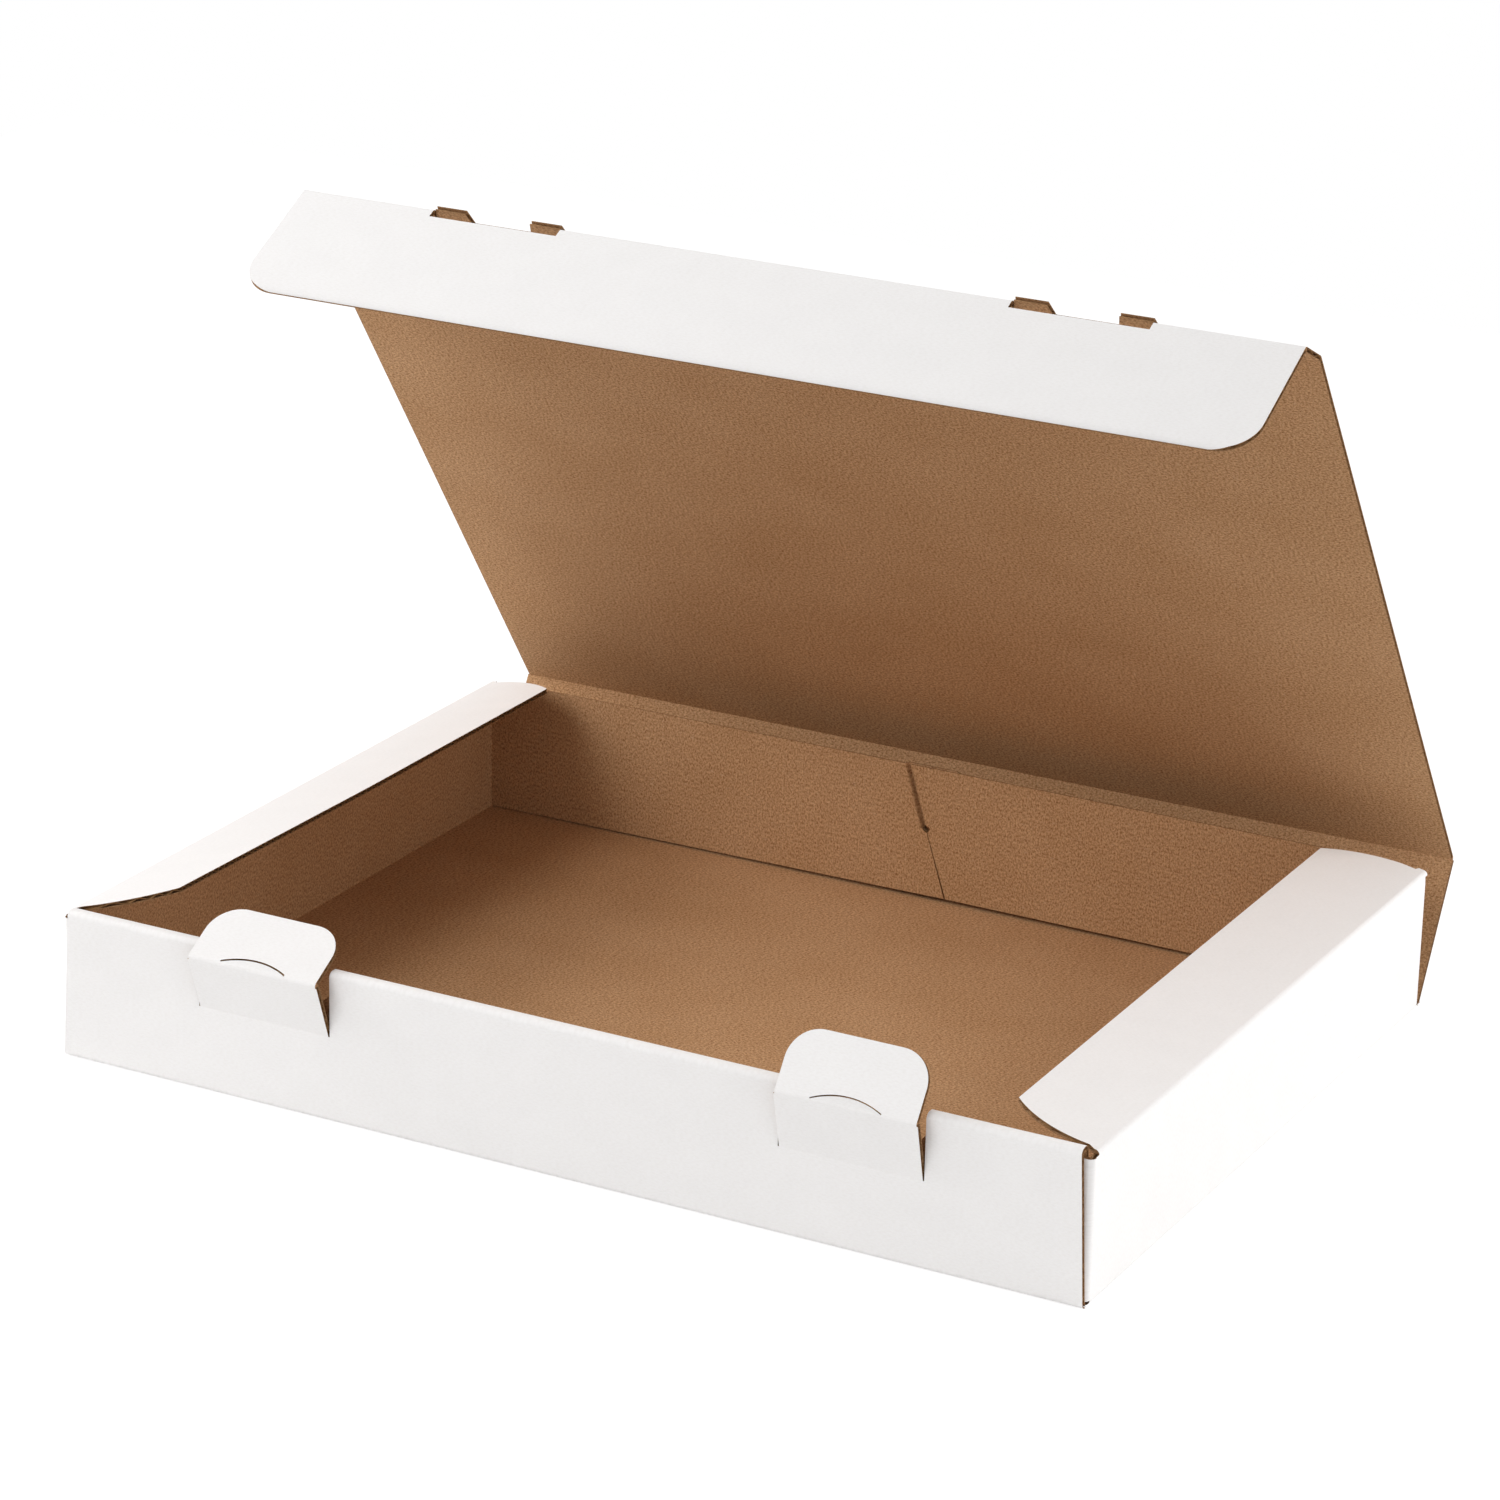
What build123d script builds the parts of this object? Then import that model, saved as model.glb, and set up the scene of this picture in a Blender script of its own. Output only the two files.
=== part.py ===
from build123d import *
import os
from math import cos, radians, sin, tan

# Flat mailer box in corrugated board, folded from one die-cut sheet and standing open.
# Every panel is drawn where it lies in the closed, locked box, and then the flaps and the
# lid are turned about their creases to the angles at which the open box rests.
# X runs along the front, Y from front to back, Z up. The origin is on the floor, in the
# middle of the closed box. All lengths are in millimetres and all angles in degrees.

# Board and fits
BOARD = 1.5               # thickness of the fluted board
LAYER_GAP = 0.1           # air between layers of board that lie on each other
CREASE_GAP = 0.15         # each panel stops this far from the crease that it turns on
FLAP_CLEARANCE = 0.3      # room between pieces that slip past each other
TUCK_CLEARANCE = 0.4      # room between the tuck flap and the rolled front wall
SIDE_CLEARANCE = 0.4      # cut gap beside a lock tab in its window
FOLD_RADIUS = 1.3         # outside rounding of a fold
CORNER_RADIUS = 2.0       # outside rounding of the upright corner folds
INNER_RADIUS = 0.4        # inside rounding of the upright corner folds

# Tray
BOX_LENGTH = 340.0        # outside, along X
BOX_DEPTH = 253.0         # outside, along Y, when closed
RIM_HEIGHT = 47.7         # top of the rolled front wall
SIDE_DROP = 1.4           # the side walls' top faces lie this much below the rim
FRONT_END_GAP_FOOT = 0.6  # the front wall stops short of the side wall, at its foot
FRONT_END_GAP_RIM = 3.0   # and a little more at the rim
FRONT_FLAP_LENGTH = 46.0  # side wall's front flap, held inside the rolled front wall
BACK_FLAP_DROP = 0.3      # inner back wall's top, below the rim

# Interlocked back flaps
SEAM_TOP_X = -9.5         # slanted line where the two back flaps cross
SEAM_FOOT_X = 4.5
SEAM_GAP = 0.4
SLIT_HEIGHT = 26.0        # height at which the two slits meet
SLIT_HOLE_RADIUS = 1.2
HOOK_REACH = 22.0         # how far each hook runs behind the other flap
HOOK_BOARD = 1.3          # the hooks are pressed a little thinner
HOOK_RAMP = 3.4           # length over which a flap bends behind its neighbour
HOOK_CORNER = 6.0

# Back wall and lid
BACK_WALL_INSET = 0.8     # each end, from the box's length
LID_INSET = 1.2           # each side, from the box's length
SPINE_WIDTH = 4.5         # strip between the lid's two front creases, on the inside
SPINE_FOLD = 15.0         # angle at the first of them
TUCK_INSET = 4.0          # each end of the tuck flap, from the box's length
TUCK_LENGTH = 43.5
TUCK_CORNER = 12.0

# Side flaps on top of the tray
TOP_FLAP_WIDTH = 30.0
TOP_FLAP_FRONT_SETBACK = 0.5   # crease's front end, behind the rolled front wall
TOP_FLAP_TUCK_RELIEF = 2.4     # at the crease, before the end steps back for the tuck
TOP_FLAP_FRONT_TAPER = 6.0     # how much the front end slants back towards its inner corner
TOP_FLAP_BACK_TAPER = 12.0
TOP_FLAP_BACK_SHOULDER = 7.0   # width over which the back end stays square
TOP_FLAP_BACK_BOW = 0.32       # share of that slant used up by the middle of its arc

# Lock tabs in the front wall and the slots that they fit
TAB_FROM_END = 72.8       # tab's middle, from the box's end
TAB_WIDTH = 45.0
TAB_CREASE_DROP = 2.0     # crease between a tab's panel and its tip, below the rim
TAB_PANEL_HEIGHT = 18.5
TIP_INSET = 0.4           # each side of the tip, from the tab's width
TIP_LENGTH = 19.5
TIP_CORNER = 10.0
HALF_MOON_CHORD = 22.0
HALF_MOON_RISE = 2.4
ARC_SLIT = 0.35
SLOT_WIDTH = 46.4
SLOT_DEPTH_IN_TUCK = 2.3
EAR_LENGTH = 5.5
EAR_FOOT = 13.0
EAR_TOP = 10.5
EAR_GAP = 0.4             # cut line between an ear and the end of its slot

# How far each flap stands open at rest, from its closed place
BACK_WALL_OPEN = 29.5
LID_OPEN = 25.0
TUCK_OPEN = 6.5
LEFT_FLAP_OPEN = 13.0
RIGHT_FLAP_OPEN = 9.0
LEFT_TAB_OPEN = 20.0
RIGHT_TAB_OPEN = 14.0
LEFT_TIP_OPEN = 10.0
RIGHT_TIP_OPEN = 41.0

# Places worked out from the sizes
half_length = BOX_LENGTH / 2
tab_x = half_length - TAB_FROM_END
front_y = -BOX_DEPTH / 2
back_crease_y = BOX_DEPTH / 2 - BOARD
rim_depth = 3 * BOARD + 2 * LAYER_GAP
rim_back_y = front_y + rim_depth
side_inner_x = half_length - BOARD
side_crease_z = RIM_HEIGHT - SIDE_DROP - BOARD
flap_foot_z = BOARD + FLAP_CLEARANCE
corner_flap_top_z = side_crease_z - FLAP_CLEARANCE
back_flap_top_z = RIM_HEIGHT - BACK_FLAP_DROP
front_flap_y = front_y + BOARD + LAYER_GAP
hook_outer_y = back_crease_y - FLAP_CLEARANCE / 2
hook_inner_y = hook_outer_y - HOOK_BOARD
back_flap_outer_y = hook_inner_y - LAYER_GAP
back_flap_inner_y = back_flap_outer_y - BOARD
window_width = TAB_WIDTH + 2 * SIDE_CLEARANCE
tuck_inner_y = rim_back_y + TUCK_CLEARANCE + BOARD
spine_run = SPINE_WIDTH * cos(radians(SPINE_FOLD))
spine_drop = SPINE_WIDTH * sin(radians(SPINE_FOLD))
lid_crease_y = tuck_inner_y + spine_run
tuck_crease_z = RIM_HEIGHT - spine_drop
tab_crease_z = RIM_HEIGHT - TAB_CREASE_DROP
tab_hinge_z = tab_crease_z - TAB_PANEL_HEIGHT
lid_top_z = RIM_HEIGHT + BOARD

# Creases that a flap or the lid turns on, as lines along X or Y in the closed box
base_crease = Axis((0, back_crease_y, BOARD), (1, 0, 0))
lid_crease = Axis((0, back_crease_y, RIM_HEIGHT), (1, 0, 0))
tuck_crease = Axis((0, tuck_inner_y, tuck_crease_z), (1, 0, 0))
tab_crease = Axis((0, front_y, tab_hinge_z), (1, 0, 0))
tip_crease = Axis((0, front_y + BOARD, tab_crease_z), (1, 0, 0))
side_crease = Axis((side_inner_x, 0, side_crease_z), (0, 1, 0))


def block(x, y, z):
    """A rectangular solid between the two values given for each direction."""
    solid = Box(x[1] - x[0], y[1] - y[0], z[1] - z[0], align=(Align.MIN, Align.MIN, Align.MIN))
    return Pos(x[0], y[0], z[0]) * solid


def profile(points):
    """A flat face with straight sides through the points."""
    return make_face(Polyline(*points, close=True))


def corner_at(sketch, x, y):
    """The corner of a flat face that lies nearest to the place given."""
    return sketch.vertices().sort_by_distance((x, y, 0))[0]


def along_x(section, low, high):
    """A Y-Z section carried along X from low to high."""
    return extrude(Plane.YZ.offset(low) * section, high - low)


def along_y(section, low, high):
    """An X-Z section carried along Y from low to high."""
    wall = Plane(origin=(0, high, 0), x_dir=(1, 0, 0), z_dir=(0, -1, 0))
    return extrude(wall * section, high - low)


def along_z(section, low, high):
    """An X-Y section carried up from low to high."""
    return extrude(Plane.XY.offset(low) * section, high - low)


def both_sides(solid):
    """The solid and its mirror image on the box's other side."""
    return solid + mirror(solid, about=Plane.YZ)


def base_and_sides():
    """Base panel with the two side walls folded up from it."""
    section = profile([
        (-half_length, 0), (half_length, 0), (half_length, side_crease_z - CREASE_GAP),
        (side_inner_x, side_crease_z - CREASE_GAP), (side_inner_x, BOARD), (-side_inner_x, BOARD),
        (-side_inner_x, side_crease_z - CREASE_GAP), (-half_length, side_crease_z - CREASE_GAP),
    ])
    folds = [corner_at(section, -half_length, 0), corner_at(section, half_length, 0)]
    section = fillet(folds, FOLD_RADIUS)
    walls = along_y(section, front_flap_y + CORNER_RADIUS, back_flap_outer_y - CORNER_RADIUS)
    base = block((-side_inner_x, side_inner_x), (front_y + BOARD, back_crease_y - CREASE_GAP),
                 (0, BOARD))
    return walls + base


def corner_folds():
    """Upright corner folds of one side wall, with its front flap and the root of its back flap."""
    flap_end_x = half_length - FRONT_FLAP_LENGTH
    root_x = half_length - 2 * CORNER_RADIUS
    front_inner_y = front_flap_y + BOARD
    section = profile([
        (flap_end_x, front_flap_y), (half_length, front_flap_y), (half_length, back_flap_outer_y),
        (root_x, back_flap_outer_y), (root_x, back_flap_inner_y), (side_inner_x, back_flap_inner_y),
        (side_inner_x, front_inner_y), (flap_end_x, front_inner_y),
    ])
    outer = [corner_at(section, half_length, front_flap_y),
             corner_at(section, half_length, back_flap_outer_y)]
    section = fillet(outer, CORNER_RADIUS)
    inner = [corner_at(section, side_inner_x, front_inner_y),
             corner_at(section, side_inner_x, back_flap_inner_y)]
    section = fillet(inner, INNER_RADIUS)
    return along_z(section, flap_foot_z, corner_flap_top_z)


def rolled_front_wall():
    """Front wall, rolled over at the rim and down again on the inside, open at both ends."""
    section = profile([
        (front_y, 0), (front_y + 3 * BOARD, 0), (front_y + 3 * BOARD, BOARD), (front_y + BOARD, BOARD),
        (front_y + BOARD, RIM_HEIGHT - BOARD), (rim_back_y - BOARD, RIM_HEIGHT - BOARD),
        (rim_back_y - BOARD, flap_foot_z), (rim_back_y, flap_foot_z),
        (rim_back_y, RIM_HEIGHT), (front_y, RIM_HEIGHT),
    ])
    folds = [corner_at(section, front_y, 0), corner_at(section, front_y, RIM_HEIGHT),
             corner_at(section, rim_back_y, RIM_HEIGHT)]
    section = fillet(folds, FOLD_RADIUS)
    foot_x = half_length - FRONT_END_GAP_FOOT
    rim_x = half_length - FRONT_END_GAP_RIM
    wall = along_x(section, -foot_x, foot_x)
    outline = profile([(-foot_x, 0), (foot_x, 0), (foot_x, BOARD), (rim_x, RIM_HEIGHT),
                       (-rim_x, RIM_HEIGHT), (-foot_x, BOARD)])
    wall = wall & along_y(outline, front_y, front_y + 3 * BOARD + rim_depth)
    inner_end = block((rim_x, half_length), (front_y + BOARD, rim_back_y), (BOARD, RIM_HEIGHT))
    wall = wall - both_sides(inner_end)
    return wall - both_sides(tab_window())


def tab_window():
    """What the lock tab and its tip leave open in the outer wall, the rim and the inner wall."""
    low_x = tab_x - window_width / 2
    high_x = tab_x + window_width / 2
    outer = block((low_x, high_x), (front_y - BOARD, front_y + BOARD + LAYER_GAP / 2),
                  (tab_hinge_z - CREASE_GAP, RIM_HEIGHT + BOARD))
    inner_foot_z = RIM_HEIGHT - (TIP_LENGTH - TAB_CREASE_DROP - rim_depth)
    shape = profile([(low_x, inner_foot_z), (high_x, inner_foot_z),
                     (high_x, RIM_HEIGHT + BOARD), (low_x, RIM_HEIGHT + BOARD)])
    rounded = [corner_at(shape, low_x, inner_foot_z), corner_at(shape, high_x, inner_foot_z)]
    shape = fillet(rounded, TIP_CORNER)
    return outer + along_y(shape, front_y + BOARD, rim_back_y + BOARD)


def seam_x(z):
    """Place of the slanted seam between the two back flaps at a height."""
    share = (z - flap_foot_z) / (back_flap_top_z - flap_foot_z)
    return SEAM_FOOT_X + share * (SEAM_TOP_X - SEAM_FOOT_X)


def front_back_flap(side, low, high):
    """The stretch of a back flap that shows: side is -1 on the left, 1 on the right."""
    root_x = side * (half_length - 2 * CORNER_RADIUS)
    edge_low = seam_x(low) + side * SEAM_GAP / 2
    edge_high = seam_x(high) + side * SEAM_GAP / 2
    shape = profile([(root_x, low), (edge_low, low), (edge_high, high), (root_x, high)])
    return along_y(shape, back_flap_inner_y, back_flap_outer_y)


def hooked_back_flap(side, low, high):
    """The stretch of a back flap that bends at the seam and hooks behind the other flap."""
    root_x = side * (half_length - 2 * CORNER_RADIUS)

    def plan(z):
        seam = seam_x(z)
        bend = seam + side * (HOOK_RAMP + SEAM_GAP)
        behind = seam + side * SEAM_GAP
        end = seam - side * HOOK_REACH
        lag = side * BOARD / 3
        return Plane.XY.offset(z) * profile([
            (root_x, back_flap_inner_y), (bend, back_flap_inner_y), (behind, hook_inner_y),
            (end, hook_inner_y), (end, hook_outer_y), (behind + lag, hook_outer_y),
            (bend + lag, back_flap_outer_y), (root_x, back_flap_outer_y),
        ])

    flap = loft([plan(low), plan(high)], ruled=True)
    outer_z = high if high == back_flap_top_z else low
    inward = -1 if high == back_flap_top_z else 1
    return flap - hook_corner(side, outer_z, inward)


def hook_corner(side, edge_z, inward):
    """Waste that rounds the hook's free corner at its outer edge."""
    end_x = seam_x(edge_z) - side * HOOK_REACH
    centre_x = end_x + side * HOOK_CORNER
    centre_z = edge_z + inward * HOOK_CORNER
    reach = 2 * HOOK_CORNER
    waste_x = sorted((centre_x, centre_x - side * reach))
    waste_z = sorted((centre_z, centre_z - inward * reach))
    waste = block(waste_x, (hook_inner_y - LAYER_GAP, hook_outer_y + LAYER_GAP), waste_z)
    round_end = along_y(Pos(centre_x, centre_z) * Circle(HOOK_CORNER),
                        hook_inner_y - BOARD, hook_outer_y + BOARD)
    return waste - round_end


def inner_back_wall():
    """The two back flaps, hooked into each other: the right one shows above the slits' meeting
    point and the left one below it, and each bends behind the other past the seam."""
    wall = front_back_flap(1, SLIT_HEIGHT, back_flap_top_z)
    wall += front_back_flap(-1, flap_foot_z, SLIT_HEIGHT)
    wall += hooked_back_flap(-1, SLIT_HEIGHT, back_flap_top_z)
    wall += hooked_back_flap(1, flap_foot_z, SLIT_HEIGHT)
    hole = Pos(seam_x(SLIT_HEIGHT), SLIT_HEIGHT) * Circle(SLIT_HOLE_RADIUS)
    return wall - along_y(hole, back_flap_inner_y - BOARD, hook_inner_y)


def tray():
    """Base, side walls, rolled front wall and interlocked back flaps: one folded sheet."""
    return base_and_sides() + both_sides(corner_folds()) + rolled_front_wall() + inner_back_wall()


def back_wall():
    """Outer back wall, hinged on the base's back crease."""
    half = half_length - BACK_WALL_INSET
    return block((-half, half), (back_crease_y, back_crease_y + BOARD),
                 (BOARD + CREASE_GAP, RIM_HEIGHT - CREASE_GAP))


def half_moon(centre_x, crease, chord, rise):
    """A flat segment of a circle that stands on the crease line."""
    arc = ThreePointArc((centre_x - chord / 2, crease), (centre_x, crease + rise),
                        (centre_x + chord / 2, crease))
    base = Line((centre_x + chord / 2, crease), (centre_x - chord / 2, crease))
    return make_face(Curve() + [arc, base])


def lid_ear(outer_x, inward):
    """Small ear that goes on in the lid's plane past its crease, at one end of a slot."""
    slant = (EAR_FOOT - EAR_TOP) / 2
    foot_x = outer_x + inward * EAR_GAP
    shape = profile([
        (foot_x, lid_crease_y + BOARD), (foot_x, lid_crease_y),
        (foot_x + inward * slant, lid_crease_y - EAR_LENGTH),
        (foot_x + inward * (slant + EAR_TOP), lid_crease_y - EAR_LENGTH),
        (foot_x + inward * EAR_FOOT, lid_crease_y),
        (foot_x + inward * EAR_FOOT, lid_crease_y + BOARD),
    ])
    return along_z(shape, RIM_HEIGHT, lid_top_z)


def lid():
    """Lid panel with its folded front spine, cut through by two slots with an ear at each end."""
    lean = radians(SPINE_FOLD)
    end_y = tuck_inner_y + CREASE_GAP * cos(lean)
    end_z = tuck_crease_z + CREASE_GAP * sin(lean)
    section = profile([
        (back_crease_y - CREASE_GAP, RIM_HEIGHT), (lid_crease_y, RIM_HEIGHT), (end_y, end_z),
        (end_y - BOARD * sin(lean), end_z + BOARD * cos(lean)),
        (lid_crease_y - BOARD * tan(lean / 2), lid_top_z), (back_crease_y - CREASE_GAP, lid_top_z),
    ])
    half = half_length - LID_INSET
    tuck_half = half_length - TUCK_INSET
    panel = along_x(section, -half, half)
    taper = profile([(half, lid_crease_y), (half + BOARD, lid_crease_y),
                     (half + BOARD, front_y), (tuck_half, front_y), (tuck_half, tuck_inner_y)])
    panel = panel - both_sides(along_z(taper, 0, 2 * RIM_HEIGHT))
    low_x = tab_x - SLOT_WIDTH / 2
    high_x = tab_x + SLOT_WIDTH / 2
    slot = block((low_x, high_x), (front_y, lid_crease_y), (BOARD, 2 * RIM_HEIGHT))
    ears = lid_ear(low_x, 1) + lid_ear(high_x, -1)
    return panel - both_sides(slot) + both_sides(ears)


def tuck_flap():
    """Flap that tucks in behind the front wall, notched at its top where the tabs pass."""
    half = half_length - TUCK_INSET
    foot_z = tuck_crease_z - TUCK_LENGTH
    shape = profile([(-half, foot_z), (half, foot_z), (half, tuck_crease_z - CREASE_GAP),
                     (-half, tuck_crease_z - CREASE_GAP)])
    shape = fillet([corner_at(shape, -half, foot_z), corner_at(shape, half, foot_z)], TUCK_CORNER)
    flap = along_y(shape, tuck_inner_y - BOARD, tuck_inner_y)
    notch = block((tab_x - SLOT_WIDTH / 2, tab_x + SLOT_WIDTH / 2),
                  (tuck_inner_y - 2 * BOARD, tuck_inner_y + BOARD),
                  (tuck_crease_z - SLOT_DEPTH_IN_TUCK, tuck_crease_z))
    return flap - both_sides(notch)


def top_flap():
    """Right-hand flap on top of the tray, with a slanted front end and a rounded back end."""
    root_x = side_inner_x - CREASE_GAP
    inner_x = side_inner_x - TOP_FLAP_WIDTH
    crease_front = rim_back_y + TOP_FLAP_FRONT_SETBACK
    relieved_front = tuck_inner_y + FLAP_CLEARANCE
    relief_x = side_inner_x - TOP_FLAP_TUCK_RELIEF
    inner_front = relieved_front + TOP_FLAP_FRONT_TAPER
    back = back_flap_inner_y - FLAP_CLEARANCE
    shoulder_x = side_inner_x - TOP_FLAP_BACK_SHOULDER
    inner_back = back - TOP_FLAP_BACK_TAPER
    front_middle = ((relief_x + inner_x) / 2, relieved_front + TOP_FLAP_FRONT_TAPER / 4)
    back_middle = ((shoulder_x + inner_x) / 2, back - TOP_FLAP_BACK_TAPER * TOP_FLAP_BACK_BOW)
    lines = [
        Line((root_x, crease_front), (relief_x, relieved_front)),
        ThreePointArc((relief_x, relieved_front), front_middle, (inner_x, inner_front)),
        Line((inner_x, inner_front), (inner_x, inner_back)),
        ThreePointArc((inner_x, inner_back), back_middle, (shoulder_x, back)),
        Line((shoulder_x, back), (root_x, back)),
        Line((root_x, back), (root_x, crease_front)),
    ]
    return along_z(make_face(Curve() + lines), side_crease_z, side_crease_z + BOARD)


def tab_panel(centre_x):
    """Lower panel of a lock tab, with the half-moon that stays upright when the tip folds."""
    half = TAB_WIDTH / 2
    shape = profile([
        (centre_x - half, tab_hinge_z + CREASE_GAP), (centre_x + half, tab_hinge_z + CREASE_GAP),
        (centre_x + half, tab_crease_z - CREASE_GAP), (centre_x - half, tab_crease_z - CREASE_GAP),
    ])
    shape += half_moon(centre_x, tab_crease_z - CREASE_GAP, HALF_MOON_CHORD, HALF_MOON_RISE + CREASE_GAP)
    return along_y(shape, front_y, front_y + BOARD)


def tab_tip(centre_x):
    """Tip of a lock tab, folded in flat as it lies in the lid's slot."""
    half = TAB_WIDTH / 2 - TIP_INSET
    root_y = front_y + BOARD
    end_y = root_y + TIP_LENGTH
    shape = profile([(centre_x - half, root_y + CREASE_GAP), (centre_x + half, root_y + CREASE_GAP),
                     (centre_x + half, end_y), (centre_x - half, end_y)])
    rounded = [corner_at(shape, centre_x - half, end_y), corner_at(shape, centre_x + half, end_y)]
    shape = fillet(rounded, TIP_CORNER)
    shape -= half_moon(centre_x, root_y, HALF_MOON_CHORD + 2 * ARC_SLIT, HALF_MOON_RISE + ARC_SLIT)
    return along_z(shape, tab_crease_z, tab_crease_z + BOARD)


def opened_tab(panel_or_tip, tab_open):
    """A tab's piece, leaning out with its lower panel about the crease in the front wall."""
    return panel_or_tip.rotate(tab_crease, tab_open)


def opened_with_lid(piece):
    """A piece of the lid, opened about the lid's crease and leaning back with the back wall."""
    return piece.rotate(lid_crease, -LID_OPEN).rotate(base_crease, -BACK_WALL_OPEN)


right_flap = top_flap()
nodes = {
    "tray": tray(),
    "back_wall": back_wall().rotate(base_crease, -BACK_WALL_OPEN),
    "lid": opened_with_lid(lid()),
    "tuck_flap": opened_with_lid(tuck_flap().rotate(tuck_crease, -TUCK_OPEN)),
    "left_top_flap": mirror(right_flap.rotate(side_crease, LEFT_FLAP_OPEN), about=Plane.YZ),
    "right_top_flap": right_flap.rotate(side_crease, RIGHT_FLAP_OPEN),
    "left_tab_panel": opened_tab(tab_panel(-tab_x), LEFT_TAB_OPEN),
    "right_tab_panel": opened_tab(tab_panel(tab_x), RIGHT_TAB_OPEN),
    "left_tab_tip": opened_tab(tab_tip(-tab_x).rotate(tip_crease, LEFT_TIP_OPEN), LEFT_TAB_OPEN),
    "right_tab_tip": opened_tab(tab_tip(tab_x).rotate(tip_crease, RIGHT_TIP_OPEN), RIGHT_TAB_OPEN),
}

os.makedirs("parts", exist_ok=True)
for name, shape in nodes.items():
    export_step(shape, f"parts/{name}.step")
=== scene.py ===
import bpy
import math
import numpy as np
from mathutils import Matrix, Vector


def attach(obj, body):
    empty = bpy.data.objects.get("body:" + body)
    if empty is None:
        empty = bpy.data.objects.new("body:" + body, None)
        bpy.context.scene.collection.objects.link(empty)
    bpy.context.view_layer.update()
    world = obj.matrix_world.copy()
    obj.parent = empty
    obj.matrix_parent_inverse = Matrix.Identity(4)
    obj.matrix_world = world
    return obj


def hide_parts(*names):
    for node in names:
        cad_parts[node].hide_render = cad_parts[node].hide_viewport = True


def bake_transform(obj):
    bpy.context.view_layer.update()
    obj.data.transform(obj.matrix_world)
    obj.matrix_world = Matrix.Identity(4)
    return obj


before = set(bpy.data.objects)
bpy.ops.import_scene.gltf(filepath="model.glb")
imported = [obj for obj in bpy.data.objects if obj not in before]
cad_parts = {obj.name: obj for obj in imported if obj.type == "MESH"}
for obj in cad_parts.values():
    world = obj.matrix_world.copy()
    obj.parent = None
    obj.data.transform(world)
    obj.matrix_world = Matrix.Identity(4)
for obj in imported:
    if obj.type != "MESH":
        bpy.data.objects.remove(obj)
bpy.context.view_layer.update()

# A flat mailer box folded from one sheet of fine-flute corrugated board, standing open.
# Every panel is built as the board is: a white outer liner, a fluted middle sheet and a brown
# kraft inner liner, with a short bent strip at each crease that carries on round the fold.
# Each piece is drawn where it lies in the closed box and then turned open.
# X runs along the front, Y to the back, Z up. Lengths are in metres and angles in radians.

MM = 0.001

# Board
BOARD = 1.5 * MM
LINER = 0.19 * MM  # thickness of each liner
MEDIUM = 0.13 * MM  # thickness of the fluted sheet
FLUTE_PITCH = 3.2 * MM  # one wave of the fluted sheet
INNER_RADIUS = 0.35 * MM  # kraft side of a hard fold
LAYER_GAP = 0.1 * MM  # between layers that are folded together
FIT_GAP = 0.3 * MM  # between edges that pass each other
CRUSHED_BOARD = 0.5 * MM  # thickness where the die has pinched an edge
CRUSHED_REACH = 1.5 * MM  # how far in from the edge the pinch goes
BEND_CORE = 0.03 * MM  # how near a bent strip comes to its fold's line
EDGE_SHIFT = 0.7 * MM  # how far the fibres' pattern runs over a cut edge

# Steps of the grids
WAVE_STEP = FLUTE_PITCH / 8  # cells along the fluted sheet
BEND_STEPS = 8  # cells round a fold
STRAIGHT = 1e-6  # a corner that turns less than this is none
S_STEPS = 12  # cells along the S where a back flap passes the other
CORNER_ROWS = 12  # rows of a small round corner
EAR_ROWS = 4
PANEL_STEP = 12.0 * MM  # longest cell of a large panel
TAB_STEP = 6.0 * MM
FINE_STEP = 4.0 * MM

# Tray
HALF_LENGTH = 170.0 * MM
FRONT_Y = -126.5 * MM
BACK_CREASE_Y = 125.0 * MM
RIM_Z = 47.7 * MM
SIDE_CREASE_Z = 44.8 * MM
SIDE_INNER_X = HALF_LENGTH - BOARD
RIM_BACK_Y = FRONT_Y + 3 * BOARD + 2 * LAYER_GAP
FRONT_FLAP_Y = FRONT_Y + BOARD + LAYER_GAP
FRONT_FLAP_END_X = HALF_LENGTH - 46.0 * MM
FRONT_END_X_FOOT = HALF_LENGTH - 0.6 * MM
FRONT_END_X_RIM = HALF_LENGTH - 3.0 * MM
FLAP_FOOT_Z = BOARD + FIT_GAP
FLAP_TOP_Z = SIDE_CREASE_Z - FIT_GAP
BACK_FLAP_TOP_Z = RIM_Z - 0.3 * MM
HOOK_BOARD = 1.3 * MM
HOOK_OUTER_Y = BACK_CREASE_Y - FIT_GAP / 2
HOOK_INNER_Y = HOOK_OUTER_Y - HOOK_BOARD
BACK_FLAP_OUTER_Y = HOOK_INNER_Y - LAYER_GAP
BACK_FLAP_INNER_Y = BACK_FLAP_OUTER_Y - BOARD
WALL_FRONT_Y = FRONT_FLAP_Y + BOARD + INNER_RADIUS
WALL_BACK_Y = BACK_FLAP_INNER_Y - INNER_RADIUS
SEAM_TOP_X = -9.5 * MM
SEAM_FOOT_X = 4.5 * MM
UPPER_SEAM = (0.9 * MM, 1.1 * MM)  # how wide the seam stands open, how long the S behind it is
LOWER_SEAM = (0.05 * MM, 0.5 * MM)
HOLE_RADIUS = 1.2 * MM
HOLE_STEP = HOLE_RADIUS / 4  # cells beside the relief hole
HOLE_REACH = 2 * HOLE_RADIUS  # how far along the flap they go
SLIT_Z = 26.0 * MM
HOOK_REACH = 22.0 * MM
HOOK_CORNER = 6.0 * MM
CORNER_RUN = 3.0 * MM  # straight run past a corner fold
CORNER_TOP_X = np.array([160.0, 165.5]) * MM  # the back flaps' top edge drops here,
CORNER_TOP_Z = np.array([BACK_FLAP_TOP_Z, 45.4 * MM])  # towards the corner folds
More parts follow.
